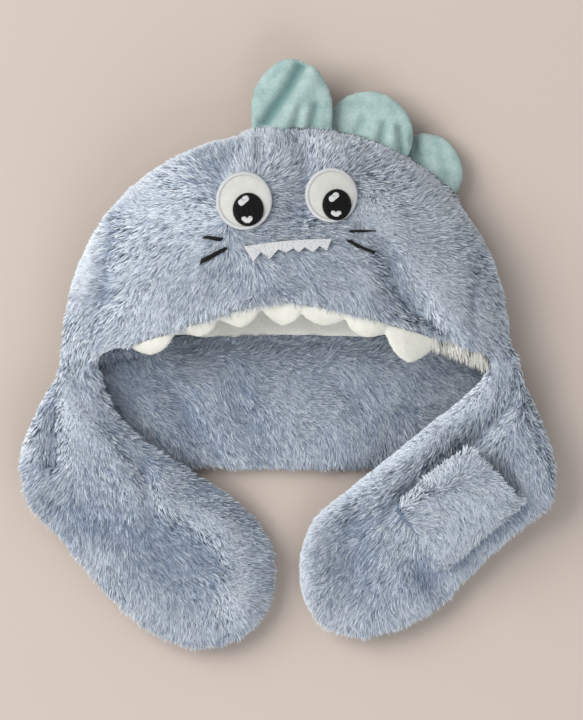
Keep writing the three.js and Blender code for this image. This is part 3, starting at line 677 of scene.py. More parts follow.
def surface_of(nodes, mesh=None):
    """The faces of some CAD nodes, and of a mesh of this script, for finding places on them."""
    shape = bmesh.new()
    if mesh:
        shape.from_mesh(mesh)
    for node in nodes:
        shape.from_mesh(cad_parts[node].data)
    surface = BVHTree.FromBMesh(shape)
    shape.free()
    return surface


def distance_to(places, *nodes):
    """How far each place is from the surface of the nearest of some CAD nodes, in mm."""
    surface = surface_of(nodes)
    return np.array([surface.find_nearest(Vector(place))[3] for place in places]) / MM


def lay_field(places, facings, controls, swirl=SWIRL):
    """The direction in which the pile lies at each place, along the surface."""
    table = np.array(controls, dtype=float)
    away = places[:, None, :2] / MM - table[None, :, :2]
    weight = 1.0 / (np.sum(away ** 2, axis=2) + LAY_SPREAD) ** 2
    plan = unit(np.einsum("vc,cd->vd", weight, unit(table[:, 2:])))
    turn = np.radians(swirl) * ripples(places, SWIRLS)
    cosine, sine = np.cos(turn), np.sin(turn)
    ways = np.stack([
        plan[:, 0] * cosine - plan[:, 1] * sine,
        plan[:, 0] * sine + plan[:, 1] * cosine,
        np.full(len(places), LAY_FALL),
    ], axis=1)
    ways -= facings * np.sum(ways * facings, axis=1, keepdims=True)
    return unit(ways)


def zone_mesh(mesh, keep):
    """The faces of a mesh whose index is in keep, with every point attribute."""
    part = mesh.copy()
    shape = bmesh.new()
    shape.from_mesh(part)
    gone = [face for face, kept in zip(shape.faces, keep) if not kept]
    bmesh.ops.delete(shape, geom=gone, context="FACES")
    shape.to_mesh(part)
    shape.free()
    return part


PILE_TREE = pile_tree()


def fur_piece(name, skin, keep, seed, material, length=PILE_LENGTH):
    """Grows pile on the kept faces of a dressed skin, as one piece."""
    carrier = new_piece("carrier", zone_mesh(skin, keep))
    share = 1.0
    piece = grow(PILE_TREE, carrier, {
        "Strands per square metre": STRANDS_PER_SQUARE_MM * share / MM ** 2,
        "Length": length * MM,
        "Width": STRAND_WIDTH * MM / math.sqrt(share),
        "Tuft size": TUFT_SIZE * MM,
        "Tuft pull": TUFT_PULL,
        "Tuft whim": TUFT_WHIM,
        "Floor height": FLOOR_GAP * MM,
        "Seed": seed,
        "Finish": material,
    }, name)
    bpy.data.objects.remove(carrier)
    mesh = piece.data
    facing = np.empty(len(mesh.vertices) * 3, dtype=np.float32)
    mesh.attributes["facing"].data.foreach_get("vector", facing)
    smooth(mesh)
    mesh.normals_split_custom_set_from_vertices(facing.reshape(-1, 3))
    add_bake_map(mesh)
    forget(mesh, PILE_ATTRIBUTES + STRAND_ATTRIBUTES)
    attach(piece, "root")


def read_attribute(mesh, name):
    values = np.empty(len(mesh.vertices), dtype=np.float32)
    mesh.attributes[name].data.foreach_get("value", values)
    return values


def add_bake_map(mesh):
    """A map for the export: every strand lies at its tone, from its root up to its tip."""
    tone, reach = read_attribute(mesh, "tone"), read_attribute(mesh, "reach")
    corner = np.arange(len(mesh.vertices)) % 3
    across = 0.05 + 0.88 * np.clip(tone, 0.0, 1.0) + 0.01 * (corner == 1)
    along = 0.05 + 0.9 * reach
    owners = np.empty(len(mesh.loops), dtype=np.int32)
    mesh.loops.foreach_get("vertex_index", owners)
    layer = mesh.uv_layers.new(name="OFBake")
    flat = np.stack([across[owners], along[owners]], axis=1)
    layer.data.foreach_set("uv", flat.astype(np.float32).ravel())


def colour(red, green, blue):
    """A colour given in display values from 0 to 255, as linear light."""
    linear = [((c / 255 + 0.055) / 1.055) ** 2.4 if c > 10 else c / 255 / 12.92
              for c in (red, green, blue)]
    return (*linear, 1.0)


class Finish:
    """A material, with short calls for its nodes."""

    def __init__(self, name, roughness, sheen=0.0, sheen_roughness=0.5, specular=0.3):
        self.material = bpy.data.materials.new(name)
        self.material.use_nodes = True
        self.tree = self.material.node_tree
        self.shader = self.tree.nodes["Principled BSDF"]
        self.shader.inputs["Roughness"].default_value = roughness
        self.shader.inputs["Sheen Weight"].default_value = sheen
        self.shader.inputs["Sheen Roughness"].default_value = sheen_roughness
        self.shader.inputs["Specular IOR Level"].default_value = specular

    def node(self, kind, inputs=None, **settings):
        made = self.tree.nodes.new(kind)
        for key, value in settings.items():
            setattr(made, key, value)
        for key, value in (inputs or {}).items():
            if isinstance(value, bpy.types.NodeSocket):
                self.tree.links.new(value, made.inputs[key])
            else:
                made.inputs[key].default_value = value
        return made

    def ramp(self, factor, *stops):
        made = self.node("ShaderNodeValToRGB", {0: factor})
        bands = made.color_ramp.elements
        while len(bands) < len(stops):
            bands.new(0.5)
        for band, (place, tint) in zip(bands, stops):
            band.position = place
            band.color = tint
        return made.outputs[0]

    def places(self):
        return self.node("ShaderNodeTexCoord").outputs["Object"]

    def noise(self, size, detail=2.0):
        """Noise with features of about this size in mm."""
        made = self.node("ShaderNodeTexNoise", {
            "Vector": self.places(), "Scale": 1.0 / (size * MM), "Detail": detail,
        })
        return made.outputs[0]

    def attribute(self, name):
        return self.node("ShaderNodeAttribute", attribute_name=name).outputs["Fac"]

    def mix(self, factor, first, second):
        made = self.node("ShaderNodeMix", data_type="RGBA")
        for index, value in ((0, factor), (6, first), (7, second)):
            if isinstance(value, bpy.types.NodeSocket):
                self.tree.links.new(value, made.inputs[index])
            else:
                made.inputs[index].default_value = value
        return made.outputs[2]

    def paint(self, tint):
        self.tree.links.new(tint, self.shader.inputs["Base Color"])

    def bump(self, height, depth, strength=1.0):
        made = self.node(
            "ShaderNodeBump", {"Height": height, "Distance": depth * MM, "Strength": strength}
        )
        self.tree.links.new(made.outputs[0], self.shader.inputs["Normal"])


def pile_finish(name, root_tint, mid_tint, tip_tint, pale_tint):
    """Dark at a strand's root, as painted shade deep in the pile, and lighter up to its tip, more so
    the paler its tone.
    """
    finish = Finish(name, roughness=0.75, sheen=0.4, sheen_roughness=0.45, specular=0.25)
    along = finish.ramp(
        finish.attribute("reach"), (0.0, root_tint), (0.45, mid_tint), (1.0, tip_tint)
    )
    streak = finish.ramp(
        finish.attribute("tone"), (0.15, (0.0, 0.0, 0.0, 1.0)), (0.85, (1.0, 1.0, 1.0, 1.0))
    )
    pale = finish.mix(finish.attribute("reach"), along, pale_tint)
    finish.paint(finish.mix(streak, along, pale))
    return finish.material


PLUSH_PILE = pile_finish(
    "blue_grey_pile",
    colour(50, 66, 95), colour(106, 124, 152), colour(154, 170, 194), colour(244, 250, 255),
)
LINING_PILE = pile_finish(
    "cream_pile",
    colour(190, 188, 180), colour(222, 220, 212), colour(242, 239, 231), colour(252, 250, 244),
)


# The backing is painted a darker blue than the pile's middle, as painted shade down between the
# strands.
def backing_finish():
    finish = Finish("blue_grey_backing", roughness=0.9, specular=0.1)
    finish.paint(finish.ramp(
        finish.noise(1.2), (0.3, colour(84, 98, 118)), (0.7, colour(116, 131, 152))
    ))
    finish.bump(finish.noise(0.8), 0.6)
    return finish.material


PLUSH_BACKING = backing_finish()


def make_stage():
    """The pale table, the soft studio light and the camera straight above."""
    half = FLOOR_SIZE / 2 * MM
    mesh = bpy.data.meshes.new("table")
    mesh.from_pydata(
        [(-half, -half, 0.0), (half, -half, 0.0), (half, half, 0.0), (-half, half, 0.0)],
        [], [(0, 1, 2, 3)],
    )
    finish = Finish("table_paint", roughness=0.85, specular=0.15)
    finish.shader.inputs["Base Color"].default_value = colour(*FLOOR_TINT)
    new_piece("table", mesh, finish.material)

    for name, place, size, power, tint in LAMPS:
        lamp = bpy.data.lights.new(name, "AREA")
        lamp.size = size * MM
        lamp.energy = power
        lamp.color = tint
        holder = bpy.data.objects.new(name, lamp)
        bpy.context.scene.collection.objects.link(holder)
        holder.location = Vector(place) * MM
        holder.rotation_euler = (-holder.location).to_track_quat("-Z", "Y").to_euler()

    world = bpy.data.worlds.new("studio")
    world.use_nodes = True
    sky = world.node_tree.nodes["Background"]
    sky.inputs["Color"].default_value = SKY_TINT
    sky.inputs["Strength"].default_value = SKY_STRENGTH
    bpy.context.scene.world = world
    bpy.context.scene.view_settings.view_transform = "Standard"

    lens = bpy.data.cameras.new("camera")
    lens.lens = LENS
    lens.sensor_width = SENSOR
    lens.sensor_fit = "VERTICAL"
    lens.sensor_height = SENSOR
    lens.clip_end = 100.0
    camera = bpy.data.objects.new("camera", lens)
    bpy.context.scene.collection.objects.link(camera)
    distance = VIEW_HEIGHT * LENS / SENSOR
    camera.location = Vector((*VIEW_CENTRE, VIEW_PLANE + distance)) * MM
    bpy.context.scene.camera = camera


def trenches(places, folds):
    """How deep the folds are at each place, in mm. A place takes a fold's nearest stretch."""
    plan = places[:, :2] / MM
    depth = np.zeros(len(places))
    for width, push, *path in folds:
        nearest = np.full(len(places), np.inf)
        for first, second in zip(path, path[1:]):
            start, along = np.array(first), np.array(second) - np.array(first)
            share = np.clip((plan - start) @ along / (along @ along), 0.0, 1.0)
            away = np.linalg.norm(plan - start - share[:, None] * along, axis=1)
            nearest = np.minimum(nearest, away)
        depth += push * np.exp(-(nearest / width) ** 2)
    return depth


def painted_patches(node, places):
    """How much paler the pile is painted as painted highlight, and darker as painted shade, in the
    patches.
    """
    plan = places[:, :2] / MM
    tone = np.zeros(len(places))
    for x, y, reach, amount in PAINTED_LIGHT_PATCHES[node]:
        away = np.linalg.norm(plan - np.array((x, y)), axis=1)
        tone += amount * np.exp(-(away / reach) ** 2)
    return tone


def add_roll(shape, path):
    """Adds a closed tube along a path of x, y, height of the top and radius."""
    rings = []
    for number, (x, y, top, radius) in enumerate(path):
        before, after = path[max(number - 1, 0)], path[min(number + 1, len(path) - 1)]
        along = Vector((after[0] - before[0], after[1] - before[1], 0.0)).normalized()
        side = Vector((-along.y, along.x, 0.0))
        ring = []
        for step in range(ROLL_SIDES):
            turn = 2 * math.pi * step / ROLL_SIDES
            place = Vector((x, y, top - radius)) + side * radius * math.cos(turn)
            place.z += radius * math.sin(turn)
            ring.append(shape.verts.new(place * MM))
        rings.append(ring)
    faces = [shape.faces.new(rings[0]), shape.faces.new(rings[-1][::-1])]
    for lower, upper in zip(rings, rings[1:]):
        for step in range(ROLL_SIDES):
            following = (step + 1) % ROLL_SIDES
            faces.append(shape.faces.new(
                (lower[step], upper[step], upper[following], lower[following])
            ))
    bmesh.ops.recalc_face_normals(shape, faces=faces)


def sewn_skin():
    """The plush parts and the rolls between them as one closed skin, soft at the seams, with
    the distance of each point from each part."""
    shape = bmesh.new()
    for node in PLUSH_NODES:
        mesh = merged_copy(node)
        shape.from_mesh(mesh)
        bpy.data.meshes.remove(mesh)
    for path in ROLLS:
        add_roll(shape, path)
    mesh = bpy.data.meshes.new("plush_skin")
    shape.to_mesh(mesh)
    shape.free()
    mesh = after_modifier(mesh, "REMESH", mode="VOXEL", voxel_size=SKIN_VOXEL * MM)
    mesh = after_modifier(mesh, "SMOOTH", factor=0.5, iterations=SKIN_SMOOTHING)
    softer = after_modifier(mesh.copy(), "SMOOTH", factor=0.5, iterations=SEAM_SMOOTHING)
    gaps = np.stack([distance_to(corners(mesh), node) for node in PLUSH_NODES], axis=1)
    seam = 1.0 - step_up(np.sort(gaps, axis=1)[:, 1], *SEAM_BLEND)
    places = corners(mesh)
    move_corners(mesh, places + (corners(softer) - places) * seam[:, None])
    bpy.data.meshes.remove(softer)
    return mesh, gaps


def covered_from_above(mesh, others):
    """Which points of a mesh lie well under some other part of the hood."""
    surface = surface_of(others, mesh)
    up = Vector((0.0, 0.0, 1.0))
    off, rise = COVER_START
    covered = []
    for place, facing in zip(corners(mesh), normals(mesh)):
        if facing[2] < COVER_FACING:
            covered.append(True)
            continue
        start = Vector(place) + Vector(facing) * off * MM + up * rise * MM
        covered.append(surface.ray_cast(start, up)[0] is not None)
    hidden = np.array(covered)
    ends = np.empty(len(mesh.edges) * 2, dtype=np.int32)
    mesh.edges.foreach_get("vertices", ends)
    first, second = ends.reshape(-1, 2).T
    for _ in range(COVER_MARGIN):
        opened = hidden.copy()
        opened[first[~hidden[second]]] = False
        opened[second[~hidden[first]]] = False
        hidden = opened
    return hidden


def lip_edge(places, facings):
    """Which places lie on the stretch of the lip where the lining's pile hangs out."""
    x, y, z = places.T / MM
    line_x, line_y, slope = LIP_LINE
    low = y < line_y + slope * (x - line_x)
    along = (x > LIP_ENDS[0]) & (x < LIP_ENDS[1]) & (z > LIP_FLOOR)
    return low & along & (facings[:, 1] < LIP_FACINGS[0]) & (facings[:, 2] < LIP_FACINGS[1])


def dress_skin(mesh, gaps):
    """Sinks the skin below the pile's tips, with what the pile needs written on its points."""
    places, facings = corners(mesh), normals(mesh)
    outer = places.copy()
    covered = covered_from_above(mesh, ("crown_lining", *TOOTH_NODES))
    share = 1.0 / (gaps + PART_BLEND) ** 4
    share /= share.sum(axis=1, keepdims=True)
    folds = sum(trenches(places, FOLDS[node]) * share[:, n] for n, node in enumerate(PLUSH_NODES))
    sink = PILE_DEPTH + (folds + ripples(places, LUMPS)) * step_up(facings[:, 2], *TOP_FACINGS)
    beneath = 1.0 - step_up(facings[:, 2], *UNDERSIDE_FACINGS)
    density = np.where(covered, COVERED_SHARE, 1.0 - (1.0 - UNDERSIDE_SHARE) * beneath)
    width = np.where(covered, COVERED_WIDTH, 1.0 + (UNDERSIDE_WIDTH - 1.0) * beneath)
    hollow = distance_to(places, "crown_lining")
    sink *= step_up(hollow, *LINING_SINK)
    density *= step_up(hollow, *LINING_BARE)
    length = between(SHALLOW_LENGTH, 1.0, np.clip(sink / PILE_DEPTH, 0.0, 1.0))
    toothed = 1.0 - step_up(distance_to(places, *TOOTH_NODES), *TOOTH_REACH)
    flat = step_up(facings[:, 2], *STEEP_FACINGS)
    length *= between(STEEP_LENGTH, 1.0, np.maximum(flat, toothed))
    sink *= 1.0 - TOOTH_SINK_CUT * toothed
    crest = 1.0 - step_up(distance_to(places, *SPIKE_NODES), *CREST_REACH)
    length *= 1.0 + CREST_GROWTH * crest
    sink *= 1.0 - CREST_SINK_CUT * crest
    # The pile's painted light: each part's share, painted highlight at the rims, painted shade in folds
    # and around the keeper loop, and the painted patches.
    rim = (1.0 - np.clip(facings[:, 2], 0.0, 1.0)) ** RIM_POWER
    pale = sum(NODE_PAINTED_LIGHT[node] * share[:, n] for n, node in enumerate(PLUSH_NODES))
    pale += RIM_HIGHLIGHT * rim - FOLD_SHADE * folds
    pale -= LOOP_SHADE * (1.0 - step_up(distance_to(places, "keeper_loop"), *LOOP_REACH))
    # Patches of painted highlight and painted shade.
    pale += sum(painted_patches(node, places) * share[:, n] for n, node in enumerate(PLUSH_NODES))
    move_corners(mesh, places - facings * sink[:, None] * MM)
    places, facings = corners(mesh), normals(mesh)
    lay = sum(
        lay_field(places, facings, PILE_LAYS[node]) * share[:, [n]]
        for n, node in enumerate(PLUSH_NODES)
    )
    lip = lip_edge(places, facings) & (gaps.argmin(axis=1) == 0)
    density *= np.where(lip, LIP_SHARE, 1.0)
    for cover, near, far in FACE_EDGES:
        density *= step_up(distance_to(outer, cover), near, far)
    write_pile(mesh, facings, lay, length, density, width, pale)


def write_pile(mesh, facings, lay, length, density, width, pale):
    """Writes what the pile tree reads on a skin's points."""
    write_attribute(mesh, "skin_normal", facings, "FLOAT_VECTOR")
    write_attribute(mesh, "lay", unit(lay), "FLOAT_VECTOR")
    write_attribute(mesh, "pile_length", length)
    write_attribute(mesh, "pile_density", density)
    write_attribute(mesh, "pile_width", width)
    write_attribute(mesh, "painted_light", pale)
    smooth(mesh)


def fringe_skin(skin, keep):
    """The lip's edge, where the lining's pale pile hangs out below the blue."""
    mesh = zone_mesh(skin, keep)
    forget(mesh, PILE_ATTRIBUTES)
    count = len(mesh.vertices)
    lay = np.tile(FRINGE_LAY, (count, 1))
    whole = np.ones(count)
    write_pile(mesh, normals(mesh), lay, whole, FRINGE_CROWDING * whole, whole, np.zeros(count))
    return mesh


def loop_skin():
    """The keeper loop's backing, which stands higher in its pile, and ruffles it more."""
    mesh = subdivided(merged_copy("keeper_loop"), 1)
    places, facings = corners(mesh), normals(mesh)
    folds = trenches(places, FOLDS["keeper_loop"])
    sink = LOOP_DEPTH + folds * step_up(facings[:, 2], *TOP_FACINGS)
    move_corners(mesh, places - facings * sink[:, None] * MM)
    places, facings = corners(mesh), normals(mesh)
    whole = np.ones(len(places))
    # The loop's pile is painted paler, and paler still towards its rims as painted highlight.
    middle, rim = LOOP_PAINTED_LIGHT
    write_pile(
        mesh, facings, lay_field(places, facings, LOOP_LAY, LOOP_SWIRL), whole,
        np.where(facings[:, 2] > BACK_FACING, 1.0, COVERED_SHARE), whole,
        middle + rim * (1.0 - np.clip(facings[:, 2], 0.0, 1.0)),
    )
    return mesh


def make_plush():
    """The sewn skin and the keeper loop, each with its pile, and the lining's fringe."""
    skin, gaps = sewn_skin()
    nearest = gaps.argmin(axis=1)
    dress_skin(skin, gaps)
    backing = new_piece("plush_backing", skin, PLUSH_BACKING)
    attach(backing, "root")
    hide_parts(*PLUSH_NODES)

    # Each face's pile belongs to the part that is nearest, and the crown's is cut in four.
    centres, facings = vectors(skin.polygons, "center"), vectors(skin.polygons, "normal")
    x = centres[:, 0] / MM
    upward = facings[:, 2] > BACK_FACING
    zone = nearest[[face.vertices[0] for face in skin.polygons]]
    crown = zone == 0
    lip = crown & lip_edge(centres, facings)
    front = crown & upward
    for seed, (name, keep) in enumerate((
        ("crown_fur_left", front & (x < -CROWN_CUT)),
        ("crown_fur_middle", front & (x >= -CROWN_CUT) & (x < CROWN_CUT)),
        ("crown_fur_right", front & (x >= CROWN_CUT)),
        ("crown_fur_back", crown & ~upward),
        ("band_fur", zone == 1),
        ("left_tail_fur", zone == 2),
        ("right_tail_fur", zone == 3),
    )):
        fur_piece(name, skin, keep, FIRST_SEED + seed, PLUSH_PILE)
    everything = np.ones(int(lip.sum()), dtype=bool)
    fur_piece(
        "lip_fringe", fringe_skin(skin, lip), everything, FRINGE_SEED, LINING_PILE,
        length=FRINGE_LENGTH,
    )

    mesh = loop_skin()
    loop = new_piece("loop_backing", mesh, PLUSH_BACKING)
    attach(loop, "root")
    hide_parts("keeper_loop")
    everything = np.ones(len(mesh.polygons), dtype=bool)
    fur_piece("loop_fur", mesh, everything, LOOP_SEED, PLUSH_PILE, length=LOOP_PILE_LENGTH)


def flared(mesh, tip, base):
    """Widens a tooth by one factor at its tip and another at its base."""
    places = corners(mesh)
    low, high = places.min(axis=0), places.max(axis=0)
    middle = (low[0] + high[0]) / 2
    share = step_up(places[:, 1], low[1], high[1])
    places[:, 0] = middle + (places[:, 0] - middle) * (tip + (base - tip) * share)
    move_corners(mesh, places)


def joined_copy(nodes, flare=None):
    """One mesh of welded copies of several CAD nodes."""
    joined = bmesh.new()
    for node in nodes:
        mesh = merged_copy(node)
        if flare:
            flared(mesh, *flare)
        joined.from_mesh(mesh)
        bpy.data.meshes.remove(mesh)
    mesh = bpy.data.meshes.new("joined")
    joined.to_mesh(mesh)
    joined.free()
    return mesh


def stuffed(mesh, voxel, pressure, most):
    """Fills closed cloth shells: they are remeshed, blown up by a cloth simulation with
    pressure and no gravity, and each point's move is kept under a limit."""
    shell = after_modifier(mesh, "REMESH", mode="VOXEL", voxel_size=voxel * MM)
    holder = new_piece("holder", shell)
    cloth = holder.modifiers.new("Cloth", "CLOTH")
    cloth.settings.use_pressure = True
    cloth.settings.uniform_pressure_force = pressure
    cloth.settings.effector_weights.gravity = 0.0
    cloth.collision_settings.use_collision = False
    cloth.point_cache.frame_start = 1
    cloth.point_cache.frame_end = STUFFING_FRAMES
    scene = bpy.context.scene
    for number in range(1, STUFFING_FRAMES + 1):
        scene.frame_set(number)
    depsgraph = bpy.context.evaluated_depsgraph_get()
    blown = corners(holder.evaluated_get(depsgraph).data)
    rest = corners(shell)
    move = blown - rest
    reach = np.linalg.norm(move, axis=1)
    move *= np.minimum(1.0, most * MM / np.maximum(reach, 1e-9))[:, None]
    holder.modifiers.remove(cloth)
    scene.frame_set(1)
    move_corners(shell, rest + move)
    bpy.data.objects.remove(holder)
    return shell


def finished(name, mesh, material, nodes=(), levels=0):
    """Makes the mesh a smooth piece of the hood on the root body, and hides the CAD nodes that it
    replaces.
    """
    piece = new_piece(name, mesh, material)
    smooth(mesh)
    if levels:
        modifier = piece.modifiers.new("Subdivision", "SUBSURF")
        modifier.levels = modifier.render_levels = levels
    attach(piece, "root")
    if nodes:
        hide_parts(*nodes)


def velour_finish(name, dark, light, nap, mottle, sheen, shade=None):
    """Short brushed cloth: a fine grain of the nap over patches where it is stroked, and
    painted shade down in a crease."""
    finish = Finish(name, roughness=0.9, sheen=sheen, sheen_roughness=0.4, specular=0.15)
    grain = finish.noise(nap, detail=3.0)
    patches = finish.noise(mottle, detail=1.0)
    level = finish.node("ShaderNodeMath", {0: grain, 1: patches}, operation="ADD").outputs[0]
    level = finish.node("ShaderNodeMath", {0: level, 1: 0.5}, operation="MULTIPLY").outputs[0]
    tint = finish.ramp(level, (0.32, dark), (0.68, light))
    if shade:
        tint = finish.mix(finish.attribute("creased"), tint, shade)
    finish.paint(tint)
    finish.bump(grain, 0.35, 0.6)
    return finish.material


def thread_finish(name, tint, roughness, specular):
    """Shiny embroidery thread, with a fine twist."""
    finish = Finish(name, roughness=roughness, sheen=0.1, specular=specular)
    finish.shader.inputs["Base Color"].default_value = tint
    finish.bump(finish.noise(0.35, detail=1.0), 0.08, 0.5)
    return finish.material


TOOTH_FLEECE = velour_finish(
    "cream_fleece", colour(206, 205, 195), colour(221, 220, 211), 0.7, 7.0, 0.3
)
SPIKE_VELOUR = velour_finish(
    "mint_velour", colour(135, 160, 158), colour(172, 193, 190), 1.2, 9.0, 0.45,
    shade=colour(90, 126, 125),
)
LINING_FLEECE = velour_finish(
    "lining_fleece", colour(222, 221, 212), colour(236, 235, 227), 1.4, 9.0, 0.5
)
EYE_FELT = velour_finish(
    "white_felt", colour(190, 190, 185), colour(202, 202, 197), 0.6, 5.0, 0.2
)


def pinned_felt():
    """White felt that a needle has left pinholes in, each painted darker as painted shade down in it.
    """
    finish = Finish("pinned_felt", roughness=0.85, sheen=0.2, specular=0.15)
    cells = finish.node(
        "ShaderNodeTexVoronoi", {"Vector": finish.places(), "Scale": 1.0 / (1.15 * MM)}
    )
    grain = finish.noise(0.5)
    felt = finish.ramp(grain, (0.3, colour(180, 181, 183)), (0.7, colour(202, 203, 204)))
    hole = finish.ramp(
        cells.outputs["Distance"], (0.16, (1.0, 1.0, 1.0, 1.0)), (0.3, (0.0, 0.0, 0.0, 1.0))
    )
    finish.paint(finish.mix(hole, felt, colour(116, 119, 126)))
    finish.bump(cells.outputs["Distance"], 0.25, 0.6)
    return finish.material


PINNED_FELT = pinned_felt()
WHITE_THREAD = thread_finish("white_thread", colour(203, 204, 205), 0.55, 0.3)
BLACK_THREAD = thread_finish("black_thread", colour(14, 14, 15), 0.7, 0.15)


def crease(mesh, creases):
    """Presses creases into the top of a mesh, and writes how deep they are, for painted shade."""
    places, facings = corners(mesh), normals(mesh)
    push = trenches(places, creases)
    push *= step_up(facings[:, 2], *CREASE_FACINGS)
    move_corners(mesh, places - facings * push[:, None] * MM)
    write_attribute(mesh, "creased", np.clip(push / DARKEST_CREASE, 0.0, 1.0))


def make_stuffed_pieces():
    teeth = stuffed(joined_copy(TOOTH_NODES, TOOTH_FLARE), **TOOTH_STUFFING)
    finished("teeth", teeth, TOOTH_FLEECE, TOOTH_NODES, levels=1)
    spikes = stuffed(joined_copy(SPIKE_NODES), **SPIKE_STUFFING)
    crease(spikes, SPIKE_CREASES)
    finished("spikes", spikes, SPIKE_VELOUR, SPIKE_NODES, levels=1)


def make_lining():
    """The fleece inside the crown, uneven, and drawn forward at its lower edge."""
    mesh = subdivided(merged_copy("crown_lining"), 1)
    places, facings = corners(mesh), normals(mesh)
    places = places + facings * ripples(places, LINING_SWELLS)[:, None] * MM
    lower = 1.0 - step_up(places[:, 1] / MM, *LINING_EDGE)
    lower *= places[:, 2] < LINING_CEILING * MM
    lower *= 1.0 - step_up(np.abs(places[:, 0]) / MM, *LINING_SIDES)
    places[:, 1] -= LINING_REACH * MM * lower * (1.0 + ripples(places, [LINING_WAVE]))
    move_corners(mesh, places)
    finished("lining_fleece", mesh, LINING_FLEECE, ["crown_lining"])


def thread_tree():
    """Stitches: every edge becomes a thread that rises from the cloth and dips back in."""
    tree = Tree("stitches", [
        ("Thread", "Float"), ("Rise", "Float"), ("Steps", "Int"), ("Finish", "Material"),
    ])
    lines = tree.node("GeometryNodeMeshToCurve", {0: tree.given("Geometry")}).outputs[0]
    lines = tree.node(
        "GeometryNodeResampleCurve", {"Curve": lines, "Count": tree.given("Steps")}
    ).outputs[0]
    along = tree.node("GeometryNodeSplineParameter", {}).outputs["Factor"]
    hump = tree.math("MULTIPLY", along, tree.math("SUBTRACT", 1.0, along))
    hump = tree.math("MULTIPLY", hump, 4.0)
    offset = tree.scaled(
        tree.attribute("up", "FLOAT_VECTOR"), tree.math("MULTIPLY", hump, tree.given("Rise"))
    )
    lines = tree.node("GeometryNodeSetPosition", {"Geometry": lines, "Offset": offset}).outputs[0]
    fullness = tree.math("ADD", tree.math("MULTIPLY", tree.math("SQRT", hump), 0.5), 0.5)
    radius = tree.math("MULTIPLY", tree.math("MULTIPLY", tree.given("Thread"), 0.5), fullness)
    ring = tree.node("GeometryNodeCurvePrimitiveCircle", {"Resolution": 5, "Radius": 1.0})
    threads = tree.node("GeometryNodeCurveToMesh", {
        "Curve": lines, "Profile Curve": ring.outputs[0], "Scale": radius, "Fill Caps": True,
    })
    shaded = tree.node("GeometryNodeSetShadeSmooth", {"Geometry": threads.outputs[0]})
    solid = tree.node("GeometryNodeRealizeInstances", {"Geometry": shaded.outputs[0]})
    tree.finish(solid.outputs[0], tree.given("Finish"))
    return tree


THREAD_TREE = thread_tree()


class Cloth:
    """The top side of some CAD nodes, seen from above."""

    def __init__(self, *nodes):
        self.surface = surface_of(nodes)

    def at(self, x, y):
        start = Vector((x, y, CAST_HEIGHT)) * MM
        place, facing, _, _ = self.surface.ray_cast(start, Vector((0.0, 0.0, -1.0)))
        return (place, facing) if place else None


def filled(inside, box, turn, pitch=ROW_PITCH, length=ROW_STITCH):
    """Rows of stitches over the part of a box (x, y, x, y) for which inside(x, y) is true."""
    x1, y1, x2, y2 = box
    centre = ((x1 + x2) / 2, (y1 + y2) / 2)
    half = math.hypot(x2 - x1, y2 - y1) / 2
    way = (math.cos(math.radians(turn)), math.sin(math.radians(turn)))
    stitches = []
    for row in range(int(-half / pitch), int(half / pitch) + 1):
        origin = (centre[0] - way[1] * row * pitch, centre[1] + way[0] * row * pitch)
        start = None
        for number in range(int(-half / ROW_STEP), int(half / ROW_STEP) + 2):
            reach = number * ROW_STEP
            point = (origin[0] + way[0] * reach, origin[1] + way[1] * reach)
            within = inside(*point)
            if within and start is None:
                start = reach
            if start is not None and (not within or reach - start >= length):
                if reach - start > SHORTEST_STITCH:
                    stitches.append((
                        origin[0] + way[0] * start, origin[1] + way[1] * start,
                        origin[0] + way[0] * reach, origin[1] + way[1] * reach,
                    ))
                start = reach if within else None
    return stitches


def satin(x1, y1, x2, y2, start_width, end_width):
    """Slanted stitches side by side across a stroke, with ragged ends."""
    reach = math.hypot(x2 - x1, y2 - y1)
    along = ((x2 - x1) / reach, (y2 - y1) / reach)
    slant = math.radians(SATIN_SLANT)
    across = (
        along[0] * math.cos(slant) - along[1] * math.sin(slant),
        along[0] * math.sin(slant) + along[1] * math.cos(slant),
    )
    stitches = []
    for number in range(int(reach / SATIN_PITCH) + 1):
        so_far = number * SATIN_PITCH
        half = between(start_width, end_width, so_far / reach) / math.sin(slant)
        high = half * (SATIN_REACH + SATIN_RAGGED * math.sin(number * 2.3))
        low = half * (SATIN_REACH + SATIN_RAGGED * math.sin(number * 3.1 + 1.0))
        x, y = x1 + along[0] * so_far, y1 + along[1] * so_far
        stitches.append((
            x - across[0] * low, y - across[1] * low, x + across[0] * high, y + across[1] * high,
        ))
    return stitches


def ringed(x, y, half_width, half_height, inner, outer, pitch, lean):
    """Satin stitches across the edge of an ellipse, from inner to outer around it."""
    around = math.pi * (half_width + half_height)
    count = int(around / pitch)
    stitches = []
    for number in range(count):
        turn = 2 * math.pi * number / count
        far = turn + lean
        stitches.append((
            x + (half_width + inner) * math.cos(turn), y + (half_height + inner) * math.sin(turn),
            x + (half_width + outer) * math.cos(far), y + (half_height + outer) * math.sin(far),
        ))
    return stitches


def sewn(
    name, stitches, cloth, material, lift=STITCH_LIFT, thread=THREAD, rise=STITCH_RISE
):
    """Lays stitches on a cloth and makes them thread."""
    points, facings, edges = [], [], []
    for x1, y1, x2, y2 in stitches:
        ends = [cloth.at(x1, y1), cloth.at(x2, y2)]
        if None in ends:
            continue
        edges.append((len(points), len(points) + 1))
        for place, facing in ends:
            points.append(place + facing * lift * MM)
            facings.append(facing)
    mesh = bpy.data.meshes.new("stitch_lines")
    mesh.from_pydata(points, edges, [])
    write_attribute(mesh, "up", [tuple(facing) for facing in facings], "FLOAT_VECTOR")
    carrier = new_piece("carrier", mesh)
    piece = grow(THREAD_TREE, carrier, {
        "Thread": thread * MM, "Rise": rise * MM, "Steps": STITCH_STEPS, "Finish": material,
    }, name)
    bpy.data.objects.remove(carrier)
    forget(piece.data, ("up",))
    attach(piece, "root")


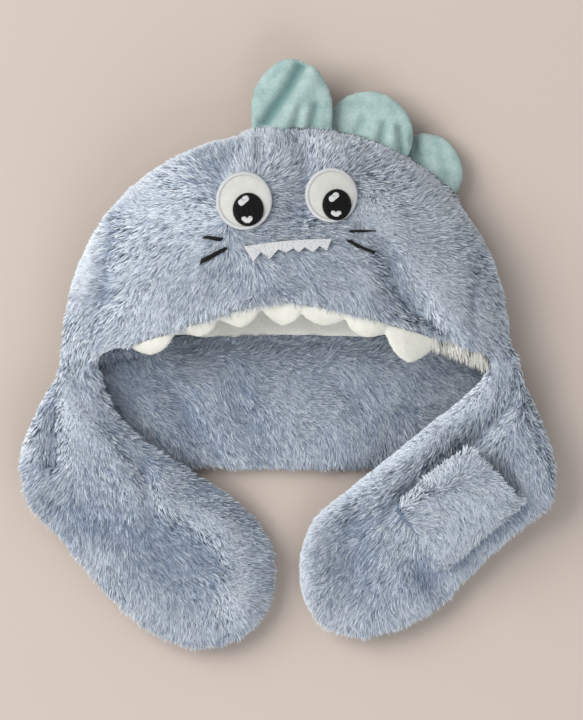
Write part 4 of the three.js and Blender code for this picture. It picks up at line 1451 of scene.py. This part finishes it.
def in_capsule(x, y, capsule):
    x1, y1, x2, y2, radius = capsule
    along_x, along_y = x2 - x1, y2 - y1
    share = ((x - x1) * along_x + (y - y1) * along_y) / max(along_x ** 2 + along_y ** 2, 1e-6)
    share = min(max(share, 0.0), 1.0)
    return math.hypot(x - x1 - share * along_x, y - y1 - share * along_y) < radius


def make_face():
    """The eyes, with their borders, pupils and glints, and the whiskers."""
    eye_nodes = [eye[0] for eye in EYES]
    patches = subdivided(joined_copy(eye_nodes), 2)
    finished("eye_patches", patches, EYE_FELT, eye_nodes)
    for (eye, pupil, x, y, half_width, half_height, px, py, pw, ph), glints in zip(EYES, GLINTS):
        cloth = Cloth(eye, pupil)
        label = eye.split("_")[0]
        border = ringed(x, y, half_width, half_height, **EYE_BORDER)
        sewn(
            f"{label}_eye_border", border, Cloth(eye), WHITE_THREAD,
            rise=BORDER_RISE,
        )

        def in_glint(u, v):
            return any(in_capsule(u - px, v - py, glint) for glint in glints)

        def in_pupil(u, v):
            within = ((u - px) / pw) ** 2 + ((v - py) / ph) ** 2 < PUPIL_FILL
            return within and not in_glint(u, v)

        box = (px - pw, py - ph, px + pw, py + ph)
        black = filled(in_pupil, box, PUPIL_TURN) + ringed(px, py, pw, ph, **PUPIL_BORDER)
        sewn(f"{label}_pupil_fill", black, cloth, BLACK_THREAD)
        white = filled(in_glint, box, **GLINT_ROWS)
        sewn(
            f"{label}_pupil_glints", white, cloth, WHITE_THREAD,
            lift=GLINT_LIFT, thread=GLINT_THREAD,
        )

    for node, strokes in WHISKERS.items():
        rows = [stitch for stroke in strokes for stitch in satin(*stroke)]
        stroke_cloth = Cloth("crown_shell", node)
        sewn(
            f"{node}_stitches", rows, stroke_cloth, BLACK_THREAD,
            thread=WHISKER_THREAD,
        )
    for node in ("left_pupil", "right_pupil", *WHISKERS):
        give_material(node, BLACK_THREAD)
    give_material("mouth_patch", PINNED_FELT)


def give_material(node, material):
    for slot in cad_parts[node].material_slots:
        slot.material = material


make_stage()
make_plush()
make_lining()
make_stuffed_pieces()
make_face()
